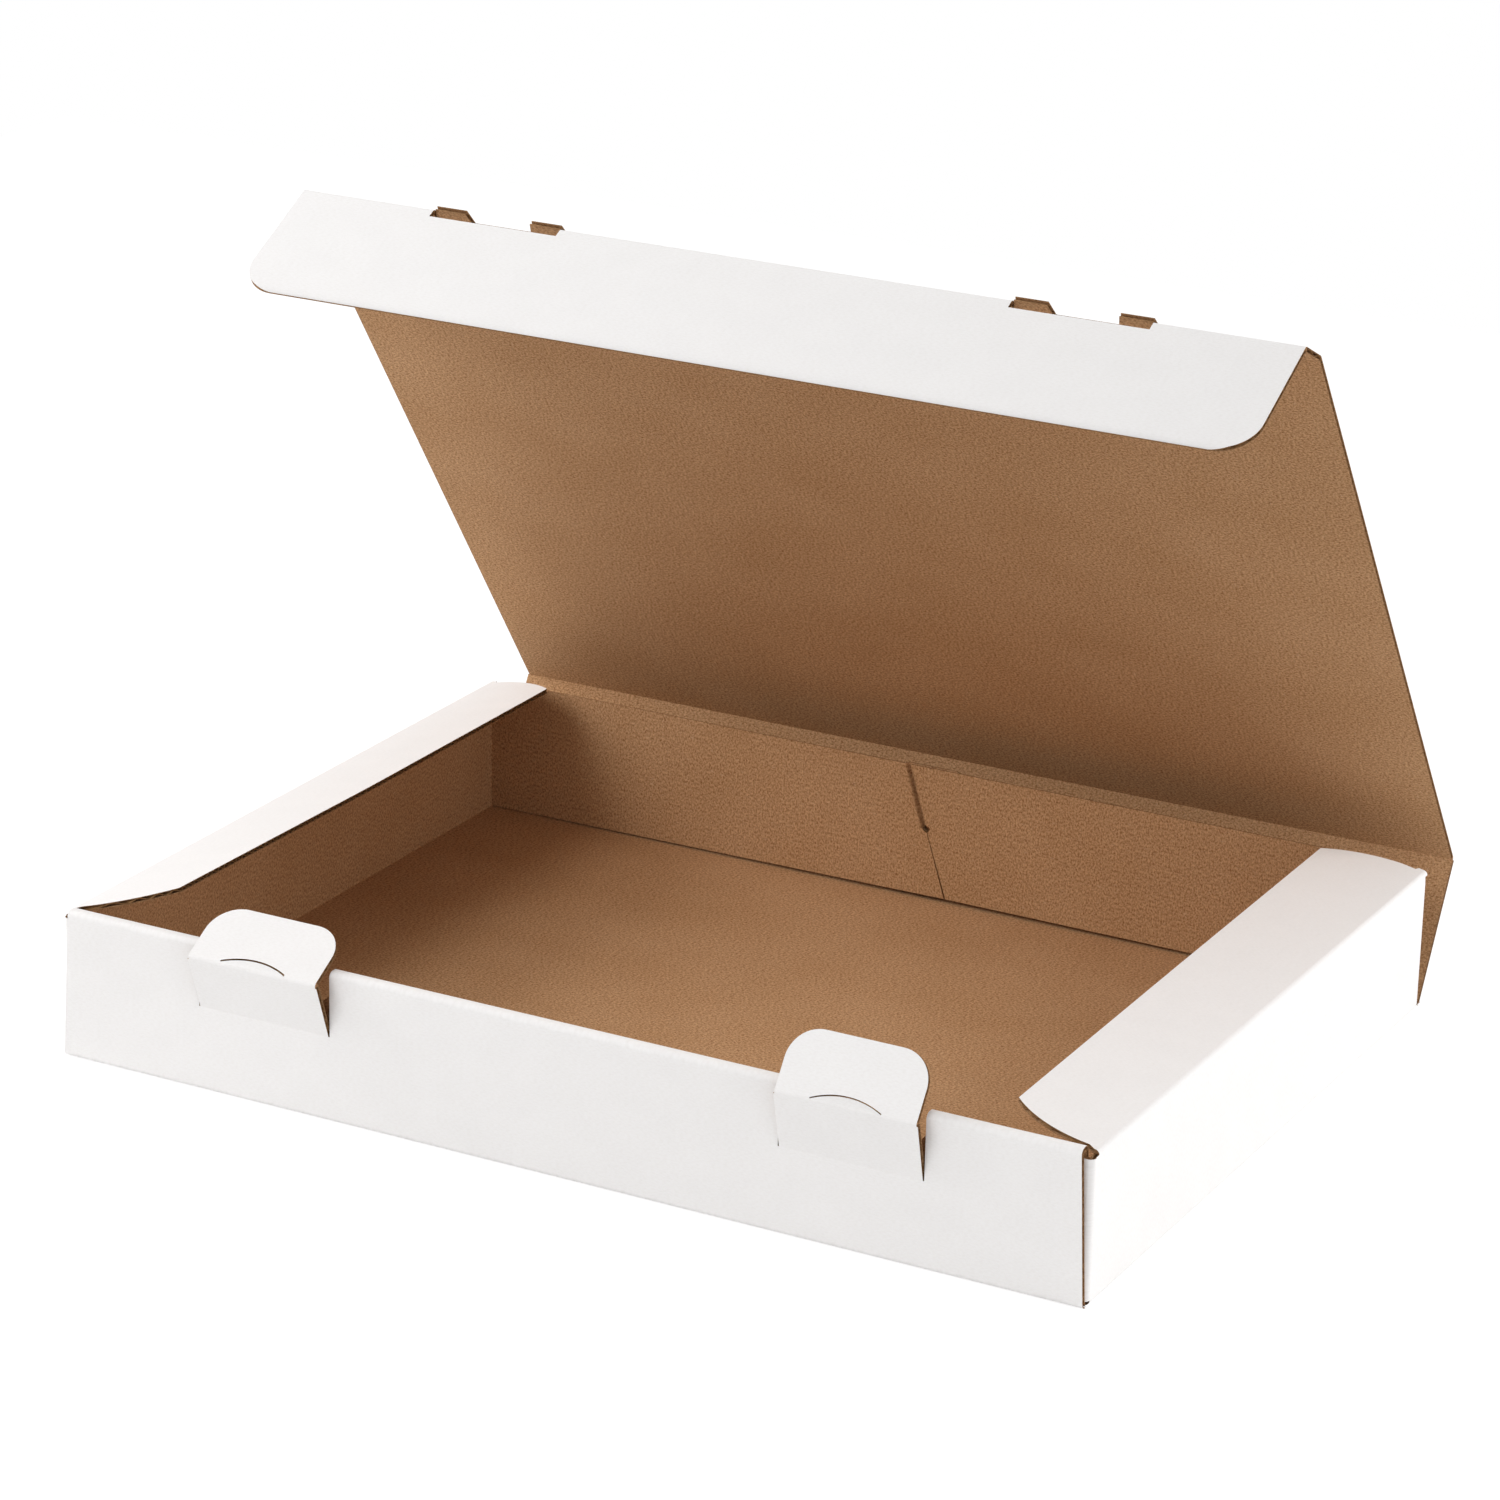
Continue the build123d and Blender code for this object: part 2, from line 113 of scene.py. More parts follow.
FOOT_LIFT_X = np.array([-166.0, 5.0, 89.0, 166.0]) * MM  # how far the back flaps' foot stands
FOOT_LIFT = np.array([0.0, 1.2, 0.8, 0.0]) * MM  # off the base at these places

# Lock tabs
TAB_X = 97.2 * MM
TAB_HALF = 22.5 * MM
TAB_HINGE_Z = 27.2 * MM
TAB_CREASE_Z = TAB_HINGE_Z + 18.5 * MM
TIP_LENGTH = 19.5 * MM
TIP_HALF = TAB_HALF - 0.4 * MM
TIP_CORNER = 10.0 * MM
WINDOW_HALF = TAB_HALF + 0.4 * MM
WINDOW_FOOT_Z = RIM_Z - (TIP_LENGTH - (RIM_Z - TAB_CREASE_Z) - (RIM_BACK_Y - FRONT_Y))
HALF_MOON_CHORD = 22.0 * MM
HALF_MOON_RISE = 2.4 * MM
ARC_SLIT = 0.15 * MM
MOON_FOLD_HALF = HALF_MOON_CHORD / 2 + ARC_SLIT
MOON_TIP = 0.01 * MM  # half the width that the half-moon ends in
MOON_FOLLOWS = 0.75  # share of the tip's fold that the half-moon takes

# Lid
LID_HALF = HALF_LENGTH - 1.2 * MM
TUCK_HALF = HALF_LENGTH - 4.0 * MM
BACK_WALL_HALF = HALF_LENGTH - 0.8 * MM
SPINE = 4.5 * MM
SPINE_FOLD = math.radians(15.0)
SPINE_RADIUS = 1.0 * MM
TUCK_INNER_Y = RIM_BACK_Y + 0.4 * MM + BOARD
LID_CREASE_Y = TUCK_INNER_Y + SPINE * math.cos(SPINE_FOLD)
TUCK_CREASE_Z = RIM_Z - SPINE * math.sin(SPINE_FOLD)
TUCK_LENGTH = 43.5 * MM
TUCK_CORNER = 12.0 * MM
SLOT_HALF = 23.2 * MM
SLOT_DEPTH_IN_TUCK = 2.3 * MM
EAR_LENGTH = 5.5 * MM
EAR_FOOT = 13.0 * MM
EAR_TOP = 10.5 * MM
EAR_GAP = 0.1 * MM
SLOT_SLANT = (EAR_FOOT - EAR_TOP) / 2 * SPINE / EAR_LENGTH  # slot ends lean like the ears
NOTCH_LOW_X = TAB_X - SLOT_HALF + SLOT_SLANT
NOTCH_HIGH_X = TAB_X + SLOT_HALF - SLOT_SLANT
TUCK_SPANS = [(-TUCK_HALF, -NOTCH_HIGH_X), (-NOTCH_LOW_X, NOTCH_LOW_X), (NOTCH_HIGH_X, TUCK_HALF)]

# Side flaps
FLAP_WIDTH = 30.0 * MM
FLAP_HALF_LENGTH = 120.0 * MM
FLAP_RELIEF = 2.4 * MM  # at the crease, before the front end steps back
FLAP_FRONT_TAPER = 12.6 * MM
FLAP_FRONT_BULGE = 3.3 * MM  # how far the middle of the front end's arc steps back
FLAP_BACK_TAPER = 12.0 * MM
FLAP_BACK_BULGE = 3.84 * MM
FLAP_SHOULDER = 7.0 * MM
FLAP_FRONT_Y = TUCK_INNER_Y + FIT_GAP
FLAP_BACK_Y = BACK_FLAP_INNER_Y - FIT_GAP
FLAP_CREASE_FRONT_Y = RIM_BACK_Y + 0.5 * MM
FLAP_CREASE_START = 0.15 * MM  # board left at the crease's front end
FLAP_NIB = 2.3 * MM  # crease end that reaches over the side wall's corner fold
NIB_LENGTH = 1.55 * MM
NIB_TAPER = 0.6 * MM
NIB_STEP = 0.01 * MM  # between the flap's back edge and the nib's side
FLAP_CREASE_BACK_Y = FLAP_BACK_Y + NIB_LENGTH

# How far each flap is turned from its place in the closed box
BACK_WALL_OPEN = math.radians(29.5)
LID_OPEN = math.radians(25.0)
TUCK_OPEN = math.radians(6.5)
FLAPS = (  # word, side, turn, and the further turn of the front end and of the back end
    ("left", -1, math.radians(13.0), (math.radians(2.6), 0.0)),
    ("right", 1, math.radians(9.0), (math.radians(-3.4), math.radians(2.5))))
TABS = (  # word, side, turn of the tab, turn of its tip
    ("left", -1, math.radians(20.0), math.radians(10.0)),
    ("right", 1, math.radians(14.0), math.radians(41.0)))

# Light
LAMPS = (  # name, place, side of the square, power in watts
    ("key_front_left", (-0.8, -1.3, 1.3), 1.0, 14.0),
    ("side_left", (-1.6, -0.1, 0.8), 0.9, 17.0),
    ("side_right", (1.7, -0.3, 0.4), 0.8, 4.5),
    ("back_right", (1.5, 0.9, 0.7), 0.9, 16.0))
LAMP_TARGET = (0.0, 0.0, 0.06)
WORLD_FILL = 0.4
FLOOR_GLOW = 0.75  # share of plain white in the floor that the camera sees
FLOOR_GLOW_STRENGTH = 1.16  # makes up for the rest of the floor, lit a little under white
FLOOR_HALF = 0.9
FLOOR_DROP = 0.2 * MM  # below the box, so that they share no plane

# Camera that matches the photograph's view
PHOTO_SIZE = 1500.0
CAMERA_YAW = math.radians(27.84)
CAMERA_PITCH = math.radians(19.93)
CAMERA_ROLL = math.radians(1.34)
CAMERA_FOCUS = 5128.0  # focal length in photograph pixels
CAMERA_DISTANCE = 1.5537
CAMERA_TARGET = (-4.2 * MM, 0.0, 91.0 * MM)


# Materials

def linear(hex_colour):
    """An sRGB hex colour as linear red, green, blue and alpha."""
    channels = [int(hex_colour[i:i + 2], 16) / 255 for i in (1, 3, 5)]
    return [c / 12.92 if c <= 0.04045 else ((c + 0.055) / 1.055) ** 2.4 for c in channels] + [1.0]


def node(tree, kind, inputs=None, output=0, stops=None, **settings):
    """Adds a node: settings are its properties, inputs its sockets, linked to another node's
    output or set to a number or a hex colour, and stops a ramp's (position, colour) pairs.
    Returns the output asked for, or the node itself for None. Where a Mix node mixes colours,
    socket 0 is the share, 6 and 7 are the colours and output 2 is the result."""
    made = tree.nodes.new(kind)
    for name, value in settings.items():
        setattr(made, name, value)
    for name, value in (inputs or {}).items():
        if isinstance(value, bpy.types.NodeSocket):
            tree.links.new(value, made.inputs[name])
        else:
            made.inputs[name].default_value = linear(value) if isinstance(value, str) else value
    for k, (position, colour) in enumerate(stops or ()):
        element = made.color_ramp.elements[k] if k < 2 else made.color_ramp.elements.new(position)
        element.position, element.color = position, linear(colour)
    return made.outputs[output] if output is not None and len(made.outputs) else made


def new_material(name):
    """An empty node material and its tree."""
    material = bpy.data.materials.new(name)
    material.use_nodes = True
    material.node_tree.nodes.clear()
    return material, material.node_tree


def paper_pattern(tree, uv, across, along, detail, roughness=0.5, shift=(0.0, 0.0, 0.0)):
    """Uneven paper: clouds or fibres that are about across by along metres on the board."""
    grid = node(tree, "ShaderNodeMapping", {"Vector": uv, "Location": shift,
                                            "Scale": (1 / across, 1 / along, 1.0)})
    return node(tree, "ShaderNodeTexNoise", {"Vector": grid, "Scale": 1.0, "Detail": detail,
                                             "Roughness": roughness})


def paper_surface(tree, colour, height, strength, relief, roughness, shine):
    """Dry, matt paper: its colour, and its height as a bump that is relief metres deep."""
    bump = node(tree, "ShaderNodeBump", {"Height": height, "Strength": strength, "Distance": relief})
    shader = node(tree, "ShaderNodeBsdfPrincipled", {
        "Base Color": colour, "Normal": bump, "Roughness": roughness, "IOR": 1.5,
        "Specular IOR Level": shine})
    node(tree, "ShaderNodeOutputMaterial", {"Surface": shader})


def white_liner():
    """Bleached white top liner, machine finished: a nearly even, dry white with faint clouds
    where the fibres lie thicker, and a very fine tooth that keeps it from looking like plastic."""
    material, tree = new_material("bleached_white_liner")
    uv = node(tree, "ShaderNodeUVMap", uv_map="board")
    clouds = paper_pattern(tree, uv, 11 * MM, 16 * MM, 3.0)
    fibres = paper_pattern(tree, uv, 0.45 * MM, 1.3 * MM, 2.0)
    cloud_tone = node(tree, "ShaderNodeValToRGB", {"Fac": clouds},
                      stops=[(0.30, "#F5F3F2"), (0.70, "#F7F5F4")])
    fibre_tone = node(tree, "ShaderNodeValToRGB", {"Fac": fibres},
                      stops=[(0.32, "#F8F7F6"), (0.60, "#FFFFFF")])
    colour = node(tree, "ShaderNodeMix", {0: 0.6, 6: cloud_tone, 7: fibre_tone}, 2,
                  data_type="RGBA", blend_type="MULTIPLY")
    paper_surface(tree, colour, fibres, strength=0.6, relief=0.012 * MM, roughness=0.62, shine=0.3)
    return material


def kraft_liner():
    """Unbleached kraft liner: warm brown, speckled all over by dark and pale fibres under a
    millimetre long, cloudy over a few centimetres, with the flutes just showing through as soft
    bands. The grain is drawn a little coarser than real so that it shows."""
    material, tree = new_material("brown_kraft_liner")
    uv = node(tree, "ShaderNodeUVMap", uv_map="board")
    clouds = paper_pattern(tree, uv, 30 * MM, 42 * MM, 3.0)
    grain = paper_pattern(tree, uv, 0.6 * MM, 0.85 * MM, 3.0, 0.7)
    dark = paper_pattern(tree, uv, 0.4 * MM, 1.5 * MM, 2.0, 0.6)
    pale = paper_pattern(tree, uv, 1.9 * MM, 0.8 * MM, 2.0, shift=(3.0, 7.0, 0.0))
    colour, grain_tone, dark_tone = (
        node(tree, "ShaderNodeValToRGB", {"Fac": pattern}, stops=tones) for pattern, tones in (
            (clouds, [(0.30, "#CAA075"), (0.70, "#D2A97F")]),
            (grain, [(0.34, "#A68D76"), (0.60, "#FFFFFF")]),
            (dark, [(0.28, "#A98C70"), (0.42, "#FFFFFF")])))
    for share, tone in ((0.85, grain_tone), (0.8, dark_tone)):
        colour = node(tree, "ShaderNodeMix", {0: share, 6: colour, 7: tone}, 2,
                      data_type="RGBA", blend_type="MULTIPLY")
    pale_share = node(tree, "ShaderNodeMapRange", {"Value": pale, "From Min": 0.62, "From Max": 0.74,
                                                   "To Max": 0.35})
    colour = node(tree, "ShaderNodeMix", {0: pale_share, 6: colour, 7: "#DDBE9B"}, 2,
                  data_type="RGBA", blend_type="MIX")
    across = node(tree, "ShaderNodeSeparateXYZ", {"Vector": uv}, "X")
    turns = node(tree, "ShaderNodeMath", {0: across, 1: 2 * math.pi / FLUTE_PITCH},
                 operation="MULTIPLY")
    wave = node(tree, "ShaderNodeMath", {0: turns}, operation="SINE")
    tooth = node(tree, "ShaderNodeMath", {0: wave, 1: 0.16, 2: grain}, operation="MULTIPLY_ADD")
    paper_surface(tree, colour, tooth, strength=0.7, relief=0.03 * MM, roughness=0.85, shine=0.2)
    return material


def raw_fibre(name, size, detail, roughness, tones, strength, relief):
    """Paper fibre laid open: two browns in a pattern of fibres, each size across and along."""
    material, tree = new_material(name)
    uv = node(tree, "ShaderNodeUVMap", uv_map="board")
    fibres = paper_pattern(tree, uv, *size, detail, roughness)
    colour = node(tree, "ShaderNodeValToRGB", {"Fac": fibres}, stops=tones)
    paper_surface(tree, colour, fibres, strength, relief, roughness=0.9, shine=0.15)
    return material


def cut_edge():
    """Die-cut edge of the liners: crushed raw fibre, rougher than either face, and darker partly from
    the crushed fibre and partly as painted shade.
    """
    # The dark brown #5E4027 is partly the crushed fibre's own colour and partly painted shade of the
    # edge.
    return raw_fibre("crushed_cut_edge_painted_shade", (0.5 * MM, 1.1 * MM), detail=4.0, roughness=0.7,
                     tones=[(0.32, "#5E4027"), (0.68, "#B58C64")], strength=0.8, relief=0.05 * MM)


def fluting_paper():
    """Fluting medium: thin grey-brown recycled paper, seen only where the board is cut."""
    return raw_fibre("recycled_fluting_medium", (0.6 * MM, 1.4 * MM), detail=3.0, roughness=0.5,
                     tones=[(0.30, "#7A5836"), (0.70, "#A07A52")], strength=0.6, relief=0.03 * MM)


WHITE, KRAFT, CUT, FLUTING = range(4)
MATERIALS = [white_liner(), kraft_liner(), cut_edge(), fluting_paper()]


# Board built from layers

def shown(name, data):
    """An object of the scene that shows the data."""
    made = bpy.data.objects.new(name, data)
    bpy.context.scene.collection.objects.link(made)
    return made


class Mesh:
    """Points, normals, faces, board coordinates and material slots of one piece, gathered layer
    by layer."""

    def __init__(self):
        self.points, self.normals, self.uvs = [], [], []
        self.faces, self.slots, self.smooth = [], [], []
        self.count = 0

    def add(self, points, normals, faces, uv, slot, smooth=True):
        """points (n, 3), their shading normals or zeros for plain ones, faces (m, 4) and uv (n, 2),
        all in one material slot."""
        self.points.append(points)
        self.normals.append(np.broadcast_to(normals, points.shape))
        self.faces.append(faces + self.count)
        self.uvs.append(uv)
        self.slots.append(np.full(len(faces), slot, np.int32))
        self.smooth.append(np.full(len(faces), smooth, bool))
        self.count += len(points)

    def make(self, name, place):
        """The finished object. place opens its points and, with them, its normals' tips."""
        used, faces = np.unique(np.concatenate(self.faces), return_inverse=True)
        faces = faces.reshape(-1, 4)
        closed = np.concatenate(self.points)[used]
        points = place(closed)
        normals = place(closed + np.concatenate(self.normals)[used]) - points
        uv = np.concatenate(self.uvs)[used]
        mesh = bpy.data.meshes.new(name)
        mesh.from_pydata(points.tolist(), [], faces.tolist())
        for material in MATERIALS:
            mesh.materials.append(material)
        mesh.polygons.foreach_set("material_index", np.concatenate(self.slots))
        mesh.polygons.foreach_set("use_smooth", np.concatenate(self.smooth))
        layer = mesh.uv_layers.new(name="board")
        corners = np.zeros(len(mesh.loops), np.int32)
        mesh.loops.foreach_get("vertex_index", corners)
        layer.data.foreach_set("uv", uv[corners].astype(np.float32).ravel())
        mesh.update()
        mesh.normals_split_custom_set_from_vertices(normals.tolist())
        return shown(name, mesh)


def grid_faces(rows, columns):
    """Quads of a grid with rows x columns points, facing rows x columns."""
    index = np.arange(rows * columns).reshape(rows, columns)
    a, b, c, d = index[:-1, :-1], index[1:, :-1], index[1:, 1:], index[:-1, 1:]
    return np.stack([a, b, c, d], -1)


def add_sheet(mesh, points, normals, low, high, keep, uv, slots, even=True):
    """A sheet of paper between two offsets from a grid surface, closed round every cut edge.
    points and normals are (rows, columns, 3), low and high are offsets in metres or arrays of
    them, keep tells which cells are there, and slots are (inner, outer, edge). An even sheet is
    shaded by the grid's own normals."""
    rows, columns = points.shape[:2]
    low = np.broadcast_to(low, (rows, columns))[..., None]
    high = np.broadcast_to(high, (rows, columns))[..., None]
    inner = points + normals * low
    outer = points + normals * high
    down, over = np.diff(outer, axis=0)[:, :-1], np.diff(outer, axis=1)[:-1]
    if np.sum(np.cross(down, over) * normals[:-1, :-1] * keep[..., None]) < 0:
        inner, outer, normals = inner[:, ::-1], outer[:, ::-1], normals[:, ::-1]
        uv, keep = uv[:, ::-1], keep[:, ::-1]
    cells = grid_faces(rows, columns)
    flat_uv = uv.reshape(-1, 2)
    shade = normals.reshape(-1, 3) * (1.0 if even else 0.0)
    mesh.add(outer.reshape(-1, 3), shade, cells[keep], flat_uv, slots[1])
    mesh.add(inner.reshape(-1, 3), -shade, cells[keep][:, ::-1], flat_uv, slots[0])
    both = np.concatenate([inner.reshape(-1, 3), outer.reshape(-1, 3)])
    both_uv = np.concatenate([flat_uv, flat_uv + [0.0, EDGE_SHIFT]])
    total = rows * columns
    padded = np.zeros((rows + 1, columns + 1), bool)
    padded[1:-1, 1:-1] = keep
    a, b, c, d = (cells[..., k] for k in range(4))
    walls = []
    for edge_from, edge_to, gone in ((a, b, ~padded[1:-1, :-2]), (b, c, ~padded[2:, 1:-1]),
                                     (c, d, ~padded[1:-1, 2:]), (d, a, ~padded[:-2, 1:-1])):
        side = keep & gone
        p, q = edge_from[side], edge_to[side]
        walls.append(np.stack([p, q, q + total, p + total], -1))
    mesh.add(both, np.zeros(3), np.concatenate(walls), both_uv, slots[2], False)


def add_board(mesh, points, normals, keep, uv, thickness=BOARD):
    """Both liners of a board whose kraft face is the grid surface."""
    add_sheet(mesh, points, normals, thickness - LINER, thickness, keep, uv, (KRAFT, WHITE, CUT))
    add_sheet(mesh, points, normals, 0.0, LINER, keep, uv, (KRAFT, KRAFT, CUT))


def add_fluting(mesh, points, normals, keep, uv, phase, thickness=BOARD):
    """The wavy middle sheet: an offset that follows a sine of the given phase, in turns."""
    swing = np.clip(thickness - 2 * LINER - MEDIUM, 0, None) / 2
    offset = thickness / 2 + swing * np.sin(2 * np.pi * phase)
    add_sheet(mesh, points, normals, offset - MEDIUM / 2, offset + MEDIUM / 2, keep, uv,
              (FLUTING, FLUTING, FLUTING), False)


def spread(breaks, step):
    """Places from the first break to the last, through every break, at most step apart."""
    parts = [np.linspace(a, b, max(2, int(math.ceil((b - a) / step)) + 1))[:-1]
             for a, b in zip(breaks[:-1], breaks[1:])]
    return np.append(np.concatenate(parts), breaks[-1])


def flat_board(mesh, s, low, high, place, normal, step=PANEL_STEP, thickness=None):
    """A flat panel ruled between two edges: s runs one way, and at a share t of the other way
    c is low(s) + t (high(s) - low(s)). place(s, c) is the point on the kraft face and normal
    points to the white face. The fluted sheet waves along s, so its open ends show at the edges
    low and high. thickness(s, c) presses the board thinner from its white side."""
    s = np.asarray(s, float)
    count = max(2, int(math.ceil(np.max(high(s) - low(s)) / step)) + 1)

    def surface(s, count):
        lows, highs = low(s), high(s)
        c = lows[:, None] + (highs - lows)[:, None] * np.linspace(0, 1, count)
        rows = np.broadcast_to(s[:, None], c.shape)
        points = place(rows, c)
        normals = np.broadcast_to(np.asarray(normal, float), points.shape)
        keep = np.ones((len(s) - 1, count - 1), bool)
        depth = BOARD if thickness is None else thickness(rows, c)
        return points, normals, keep, np.stack([rows, c], -1), depth

    points, normals, keep, uv, depth = surface(s, count)
    add_board(mesh, points, normals, keep, uv, depth)
    dense = spread([s[0], s[-1]], WAVE_STEP)
    points, normals, keep, uv, depth = surface(dense, 2 if thickness is None else count)
    add_fluting(mesh, points, normals, keep, uv, uv[..., 0] / FLUTE_PITCH, depth)


class Path:
    """A folded line in a plane: straight runs between corners and an arc at each, which begins
    before the corner by the radius times the tangent of half the turn. turn is +1 where the white
    side lies to the left of travel."""

    def __init__(self, corners, turn, radius=INNER_RADIUS):
        corners = np.asarray(corners, float)
        points, normals = [], []
        for k, corner in enumerate(corners):
            before = corner - corners[k - 1] if k else corners[1] - corner
            after = corners[k + 1] - corner if k < len(corners) - 1 else before
            before, after = before / np.hypot(*before), after / np.hypot(*after)
            left = np.array([-before[1], before[0]])
            angle = math.atan2(left @ after, before @ after)
            if k in (0, len(corners) - 1) or abs(angle) < STRAIGHT:
                points.append(corner[None])
                normals.append(left[None] * turn)
                continue
            reach = radius * math.tan(abs(angle) / 2)
            spoke = -left * np.sign(angle) * radius
            centre = corner - before * reach - spoke
            share = np.linspace(0, angle, BEND_STEPS + 1)
            turned = np.stack([spoke[0] * np.cos(share) - spoke[1] * np.sin(share),
                               spoke[0] * np.sin(share) + spoke[1] * np.cos(share)], -1)
            points.append(centre + turned)
            normals.append(turned / radius * (-np.sign(angle)) * turn)
        self.points = np.concatenate(points)
        self.normals = np.concatenate(normals)
        steps = np.hypot(*np.diff(self.points, axis=0).T)
        self.s = np.concatenate([[0], np.cumsum(steps)])

    def at(self, s):
        """Points and normals at the distances s along the line."""
        point = np.stack([np.interp(s, self.s, self.points[:, k]) for k in (0, 1)], -1)
        normal = np.stack([np.interp(s, self.s, self.normals[:, k]) for k in (0, 1)], -1)
        return point, normal / np.linalg.norm(normal, axis=-1, keepdims=True)


# Where X, Y and Z come in (a, b, c), for a path in a plane that is carried across it
YZ_PATH, XZ_PATH, XY_PATH = (2, 0, 1), (0, 2, 1), (0, 1, 2)


def folded_board(mesh, path, columns, axes, keep, waves_along_path=False, trim=None):
    """A board folded along a path and carried across its plane: (a, b) is the path's point at s,
    and c the way across. keep(a, b, c) tells which cells are there, by their middles, and
    trim(a, b, c) may draw columns to a slanted edge. The fluted sheet waves along the path, and
    is left out where no cut edge shows it."""
    def surface(s):
        c = np.broadcast_to(columns, (len(s), len(columns)))
        a, b, na, nb = (np.broadcast_to(value[:, None], c.shape)
                        for value in np.hstack(path.at(s)).T)
        if trim is not None:
            c = trim(a, b, c)
        middle = [(v[:-1, :-1] + v[1:, 1:]) / 2 for v in (a, b, c)]
        points = np.stack([a, b, c], -1)[..., axes]
        normals = np.stack([na, nb, np.zeros_like(na)], -1)[..., axes]
        return points, normals, keep(*middle), np.broadcast_to(s[:, None], c.shape), c

    s = spread(list(path.s), PANEL_STEP)
    points, normals, mask, rows, c = surface(s)
    across = (rows, c) if waves_along_path else (c, rows)
    add_board(mesh, points, normals, mask, np.stack(across, -1))
    if waves_along_path:
        s = spread([path.s[0], path.s[-1]], WAVE_STEP)
        points, normals, mask, rows, c = surface(s)
        add_fluting(mesh, points, normals, mask, np.stack([rows, c], -1), rows / FLUTE_PITCH)


def everywhere(a, b, c):
    """Keeps every cell."""
    return np.ones(a.shape, bool)


def panel(y, z, way_y, way_z):
    """Points of a flat panel, from distances s and places x: s on from (y, z) along the way."""
    return lambda s, x: np.stack([x, y + way_y * s, z + way_z * s], -1)


def constant(value):
    """A straight edge: the same value at every place."""
    return lambda s: np.full_like(s, value)


def about(centre, half):
    """Two edges that lie half(s) to either side of a centre line."""
    return (lambda s: centre - half(s)), (lambda s: centre + half(s))


def sine_rows(start, reach, count):
    """Places that crowd towards a round end: start + reach sin(a), with a even to a right angle."""
    return start + reach * np.sin(np.linspace(0, math.pi / 2, count))


def rounded_strip(start, length, width, corner, step, count):
    """Rows of a strip from start to its free end, and its half width at them: width less the
    corner, plus the root of the corner squared less the square of the way into the corner."""
    bend = length - corner

    def half(s):
        past = np.clip(s - bend, 0, corner)
        return width - corner + np.sqrt(corner ** 2 - past ** 2)

    return np.append(spread([start, bend], step)[:-1], sine_rows(bend, corner, count)), half


# Turning pieces from the closed box to the open one

def turn_about_x(points, y, z, angle):
    """Points turned about a line along X through (y, z)."""
    dy, dz = points[..., 1] - y, points[..., 2] - z
    cos, sin = math.cos(angle), math.sin(angle)
    return np.stack([points[..., 0], y + dy * cos - dz * sin, z + dy * sin + dz * cos], -1)


def turn_about_y(points, x, z, angle):
    """Points turned about a line along Y through (x, z)."""
    dx, dz = points[..., 0] - x, points[..., 2] - z
    cos, sin = np.cos(angle), np.sin(angle)
    return np.stack([x + dx * cos + dz * sin, points[..., 1], z - dx * sin + dz * cos], -1)


def as_built(points):
    """The tray stays where it lies in the closed box."""
    return points


def back_wall_opened(points):
    """The back wall leans back about its crease on the base."""
    return turn_about_x(points, BACK_CREASE_Y, BOARD, -BACK_WALL_OPEN)


def lid_opened(points):
    """The lid turns up about its crease on the back wall, and leans back with it."""
    return back_wall_opened(turn_about_x(points, BACK_CREASE_Y, RIM_Z, -LID_OPEN))


def tuck_opened(points):
    """The tuck flap turns out about its crease on the spine, and rides on the lid."""
    return lid_opened(turn_about_x(points, TUCK_INNER_Y, TUCK_CREASE_Z, -TUCK_OPEN))


def flap_opened(side, angle, front_twist, back_twist):
    """A side flap turned by angle about its crease, and evenly further from its middle to its
    ends, by front_twist and back_twist, as card does."""
    def place(points):
        along = np.clip(points[..., 1] / FLAP_HALF_LENGTH, -1, 1)
        twist = np.where(along < 0, -along * front_twist, along * back_twist)
        return turn_about_y(points, side * SIDE_INNER_X, SIDE_CREASE_Z, side * (angle + twist))
    return place


def tab_opened(angle):
    """A lock tab leans out about its crease in the front wall."""
    return lambda points: turn_about_x(points, FRONT_Y, TAB_HINGE_Z, angle)


def tip_opened(tab_angle, tip_angle):
    """A tab's tip turns up about its crease on the tab, and leans out with it."""
    lean = tab_opened(tab_angle)
    return lambda points: lean(turn_about_x(points, FRONT_Y + BOARD, TAB_CREASE_Z, tip_angle))


# Tray

def base_and_side_walls(mesh):
    """Base with a side wall folded up at each end: a U carried along Y, whose walls stop at the
    upright corner folds."""
    end, top, foot = SIDE_INNER_X, SIDE_CREASE_Z, BOARD
    path = Path([(-end, top), (-end, foot), (end, foot), (end, top)], -1)
    columns = spread([WALL_FRONT_Y, WALL_BACK_Y, BACK_CREASE_Y], PANEL_STEP)

    def keep(x, z, y):
        return (z < FLAP_FOOT_Z) | (y < WALL_BACK_Y)

    folded_board(mesh, path, columns, XZ_PATH, keep)


def upright_corner(mesh, side):
    """Side wall's front corner fold and front flap, which the rolled front wall holds: an L
    carried up along Z."""
    inner_y = FRONT_FLAP_Y + BOARD
    path = Path([(side * SIDE_INNER_X, WALL_FRONT_Y), (side * SIDE_INNER_X, inner_y),
                 (side * FRONT_FLAP_END_X, inner_y)], side)
    columns = spread([FLAP_FOOT_Z, FLAP_TOP_Z], PANEL_STEP)
    folded_board(mesh, path, columns, XY_PATH, everywhere)


